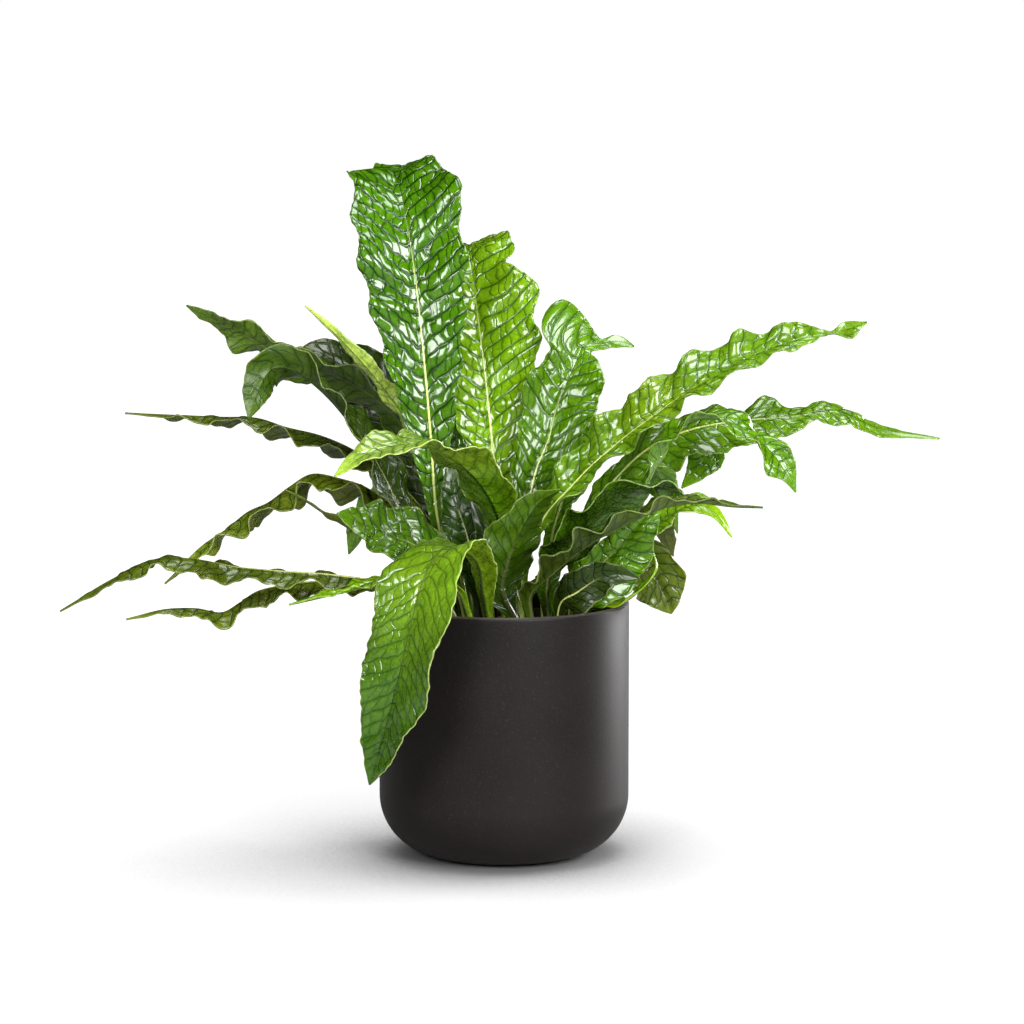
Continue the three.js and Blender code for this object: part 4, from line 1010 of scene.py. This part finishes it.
def build_soil(material):
    wall = NURSERY_WALL + GAP
    foot = NURSERY_BASE_Z + FOOT_HEIGHT + NURSERY_WALL
    edge = RIM_RADIUS - RIM_STEP - wall - 0.0006
    top = [(edge * k / 24, soil_height(edge * k / 24)) for k in range(23, 0, -1)]
    profile = [
        (0, NURSERY_BASE_Z + wall),
        (FOOT_RADIUS - wall, NURSERY_BASE_Z + wall),
        (FOOT_RADIUS - wall, foot),
        (SHOULDER_RADIUS - wall, foot + GAP),
        (edge, soil_height(edge) - 0.002),
        *top,
        (0, soil_height(0)),
    ]
    points, faces = lathe(profile, NURSERY_SEGMENTS)
    rng = np.random.default_rng(CRUMB_SEED)
    on_top = smooth((points[:, 2] - SOIL_TOP + 0.004) / 0.002)
    points[:, 2] += on_top * SOIL_ROUGHNESS * wander(rng, points[:, 0], points[:, 1], 0.004, 10)
    crumbs, sides = crumb_shapes(rng, CRUMBS)
    sides = [tuple(k + len(points) for k in s) for s in sides]
    add_piece("soil_crumbly", np.vstack([points, crumbs]), faces + sides, material, "soil")


def build_rhizome(material):
    """Creeping arms with knobbly sides, each a closed tube with round ends."""
    rng = np.random.default_rng(RHIZOME_SEED)
    points, faces = [], []
    sides, offset = RHIZOME_SIDES, 0
    angles = np.linspace(0, 2 * np.pi, sides, endpoint=False)
    for arm in ARMS:
        stops = []
        for x, y in map(metres, arm):
            crown = SOIL_CROWN * (1 - math.hypot(x, y) / RHIZOME_REACH)
            stops.append((x, y, SOIL_TOP - RHIZOME_SINK + crown))
        rings = RHIZOME_RINGS * (len(arm) - 1)
        t, length = curve_by_length(np.array(stops), rings)
        line = catmull_rom(np.array(stops), t)
        along = np.gradient(line, axis=0)
        along /= np.linalg.norm(along, axis=1)[:, None]
        level = np.cross(along, (0, 0, 1))
        level /= np.linalg.norm(level, axis=1)[:, None]
        above = np.cross(level, along)
        run = np.linspace(0, length, rings + 1)
        from_end = np.minimum(run, length - run) / ROUND_END
        ends = np.sqrt(np.clip(1 - (1 - from_end).clip(0) ** 2, 0.02, 1))
        knobs = wander(rng, run[:, None], 0.004 * np.cos(angles)[None], KNOB_SIZE, 8)
        radius = RHIZOME_RADIUS * 0.93 * ends[:, None] * (1 + KNOBS * knobs)
        c, s = np.cos(angles)[None, :, None], np.sin(angles)[None, :, None]
        around = c * level[:, None] + s * above[:, None]
        points.append((line[:, None] + radius[..., None] * around).reshape(-1, 3))
        for i in range(rings):
            for k in range(sides):
                a, b = offset + i * sides + k, offset + i * sides + (k + 1) % sides
                faces.append((a, a + sides, b + sides, b))
        faces.append(tuple(offset + k for k in range(sides)))
        faces.append(tuple(offset + rings * sides + k for k in range(sides))[::-1])
        offset += (rings + 1) * sides
    add_piece("rhizome_scaly", np.concatenate(points), faces, material, "rhizome")


def build_floor():
    bpy.ops.mesh.primitive_plane_add(size=FLOOR_SIZE, location=(0, 0, 0))
    floor = bpy.context.object
    floor.name = "floor"
    floor.data.materials.append(floor_material())


def build_world():
    """White to the camera, otherwise a weak light, stronger from behind and faint in gloss."""
    g = Graph(bpy.data.worlds.new("studio"))
    behind = g.split(g.node("TexCoord").outputs["Generated"])[1]
    fill = g.step(behind, 0.0, 0.8, AMBIENT, AMBIENT_BEHIND, "LINEAR")
    ray = g.node("LightPath").outputs
    fill = g.step(ray["Is Glossy Ray"], 0, 1, fill, AMBIENT_IN_GLOSS, "LINEAR")
    around = g.node("Background", Color=grey4(1), Strength=fill).outputs[0]
    seen = g.node("Background", Color=grey4(1), Strength=1).outputs[0]
    both = g.join("MixShader", around, seen, Fac=ray["Is Camera Ray"])
    bpy.context.scene.world = g.finish(both, "OutputWorld")


def add_softbox(name, place, aim, size, power):
    light = bpy.data.lights.new(name, "AREA")
    light.shape = "RECTANGLE"
    light.size, light.size_y = size
    light.energy = power
    box = bpy.data.objects.new(name, light)
    box.location = place
    box.rotation_euler = (Vector(aim) - Vector(place)).to_track_quat("-Z", "Y").to_euler()
    bpy.context.scene.collection.objects.link(box)


def build_lights():
    add_softbox("key", (0.9, -1.65, 1.05), (0, 0, 0.27), (1.1, 0.9), 70)
    add_softbox("front_left", (-0.85, -1.7, 0.95), (0, 0, 0.27), (0.8, 0.7), 34)
    add_softbox("top", (0.3, 0.1, 1.9), (0, 0, 0.2), (0.8, 0.8), 22)
    add_softbox("right", (1.25, 0.85, 0.4), (0, 0, 0.1), (0.6, 0.9), 48)


def build_camera():
    forward = Vector((0, math.cos(CAMERA_PITCH), -math.sin(CAMERA_PITCH)))
    data = bpy.data.cameras.new("camera")
    data.sensor_width = SENSOR
    data.lens = SENSOR * CAMERA_FOCAL_PX / FRAME_PX
    data.clip_end = 100
    camera = bpy.data.objects.new("camera", data)
    camera.location = CAMERA_TARGET - CAMERA_DISTANCE * forward
    camera.rotation_euler = forward.to_track_quat("-Z", "Y").to_euler()
    bpy.context.scene.collection.objects.link(camera)
    bpy.context.scene.camera = camera


build_camera()
build_lights()
build_floor()
build_world()
bpy.context.scene.view_settings.view_transform = "Standard"

build_cover_pot(pot_material())
build_nursery_pot(plastic_material())
build_soil(soil_material())
build_rhizome(rhizome_material())
frond_materials = {tone: frond_material(tone) for tone in TONES}
for number, row in enumerate(FRONDS):
    build_frond(row, number, frond_materials)
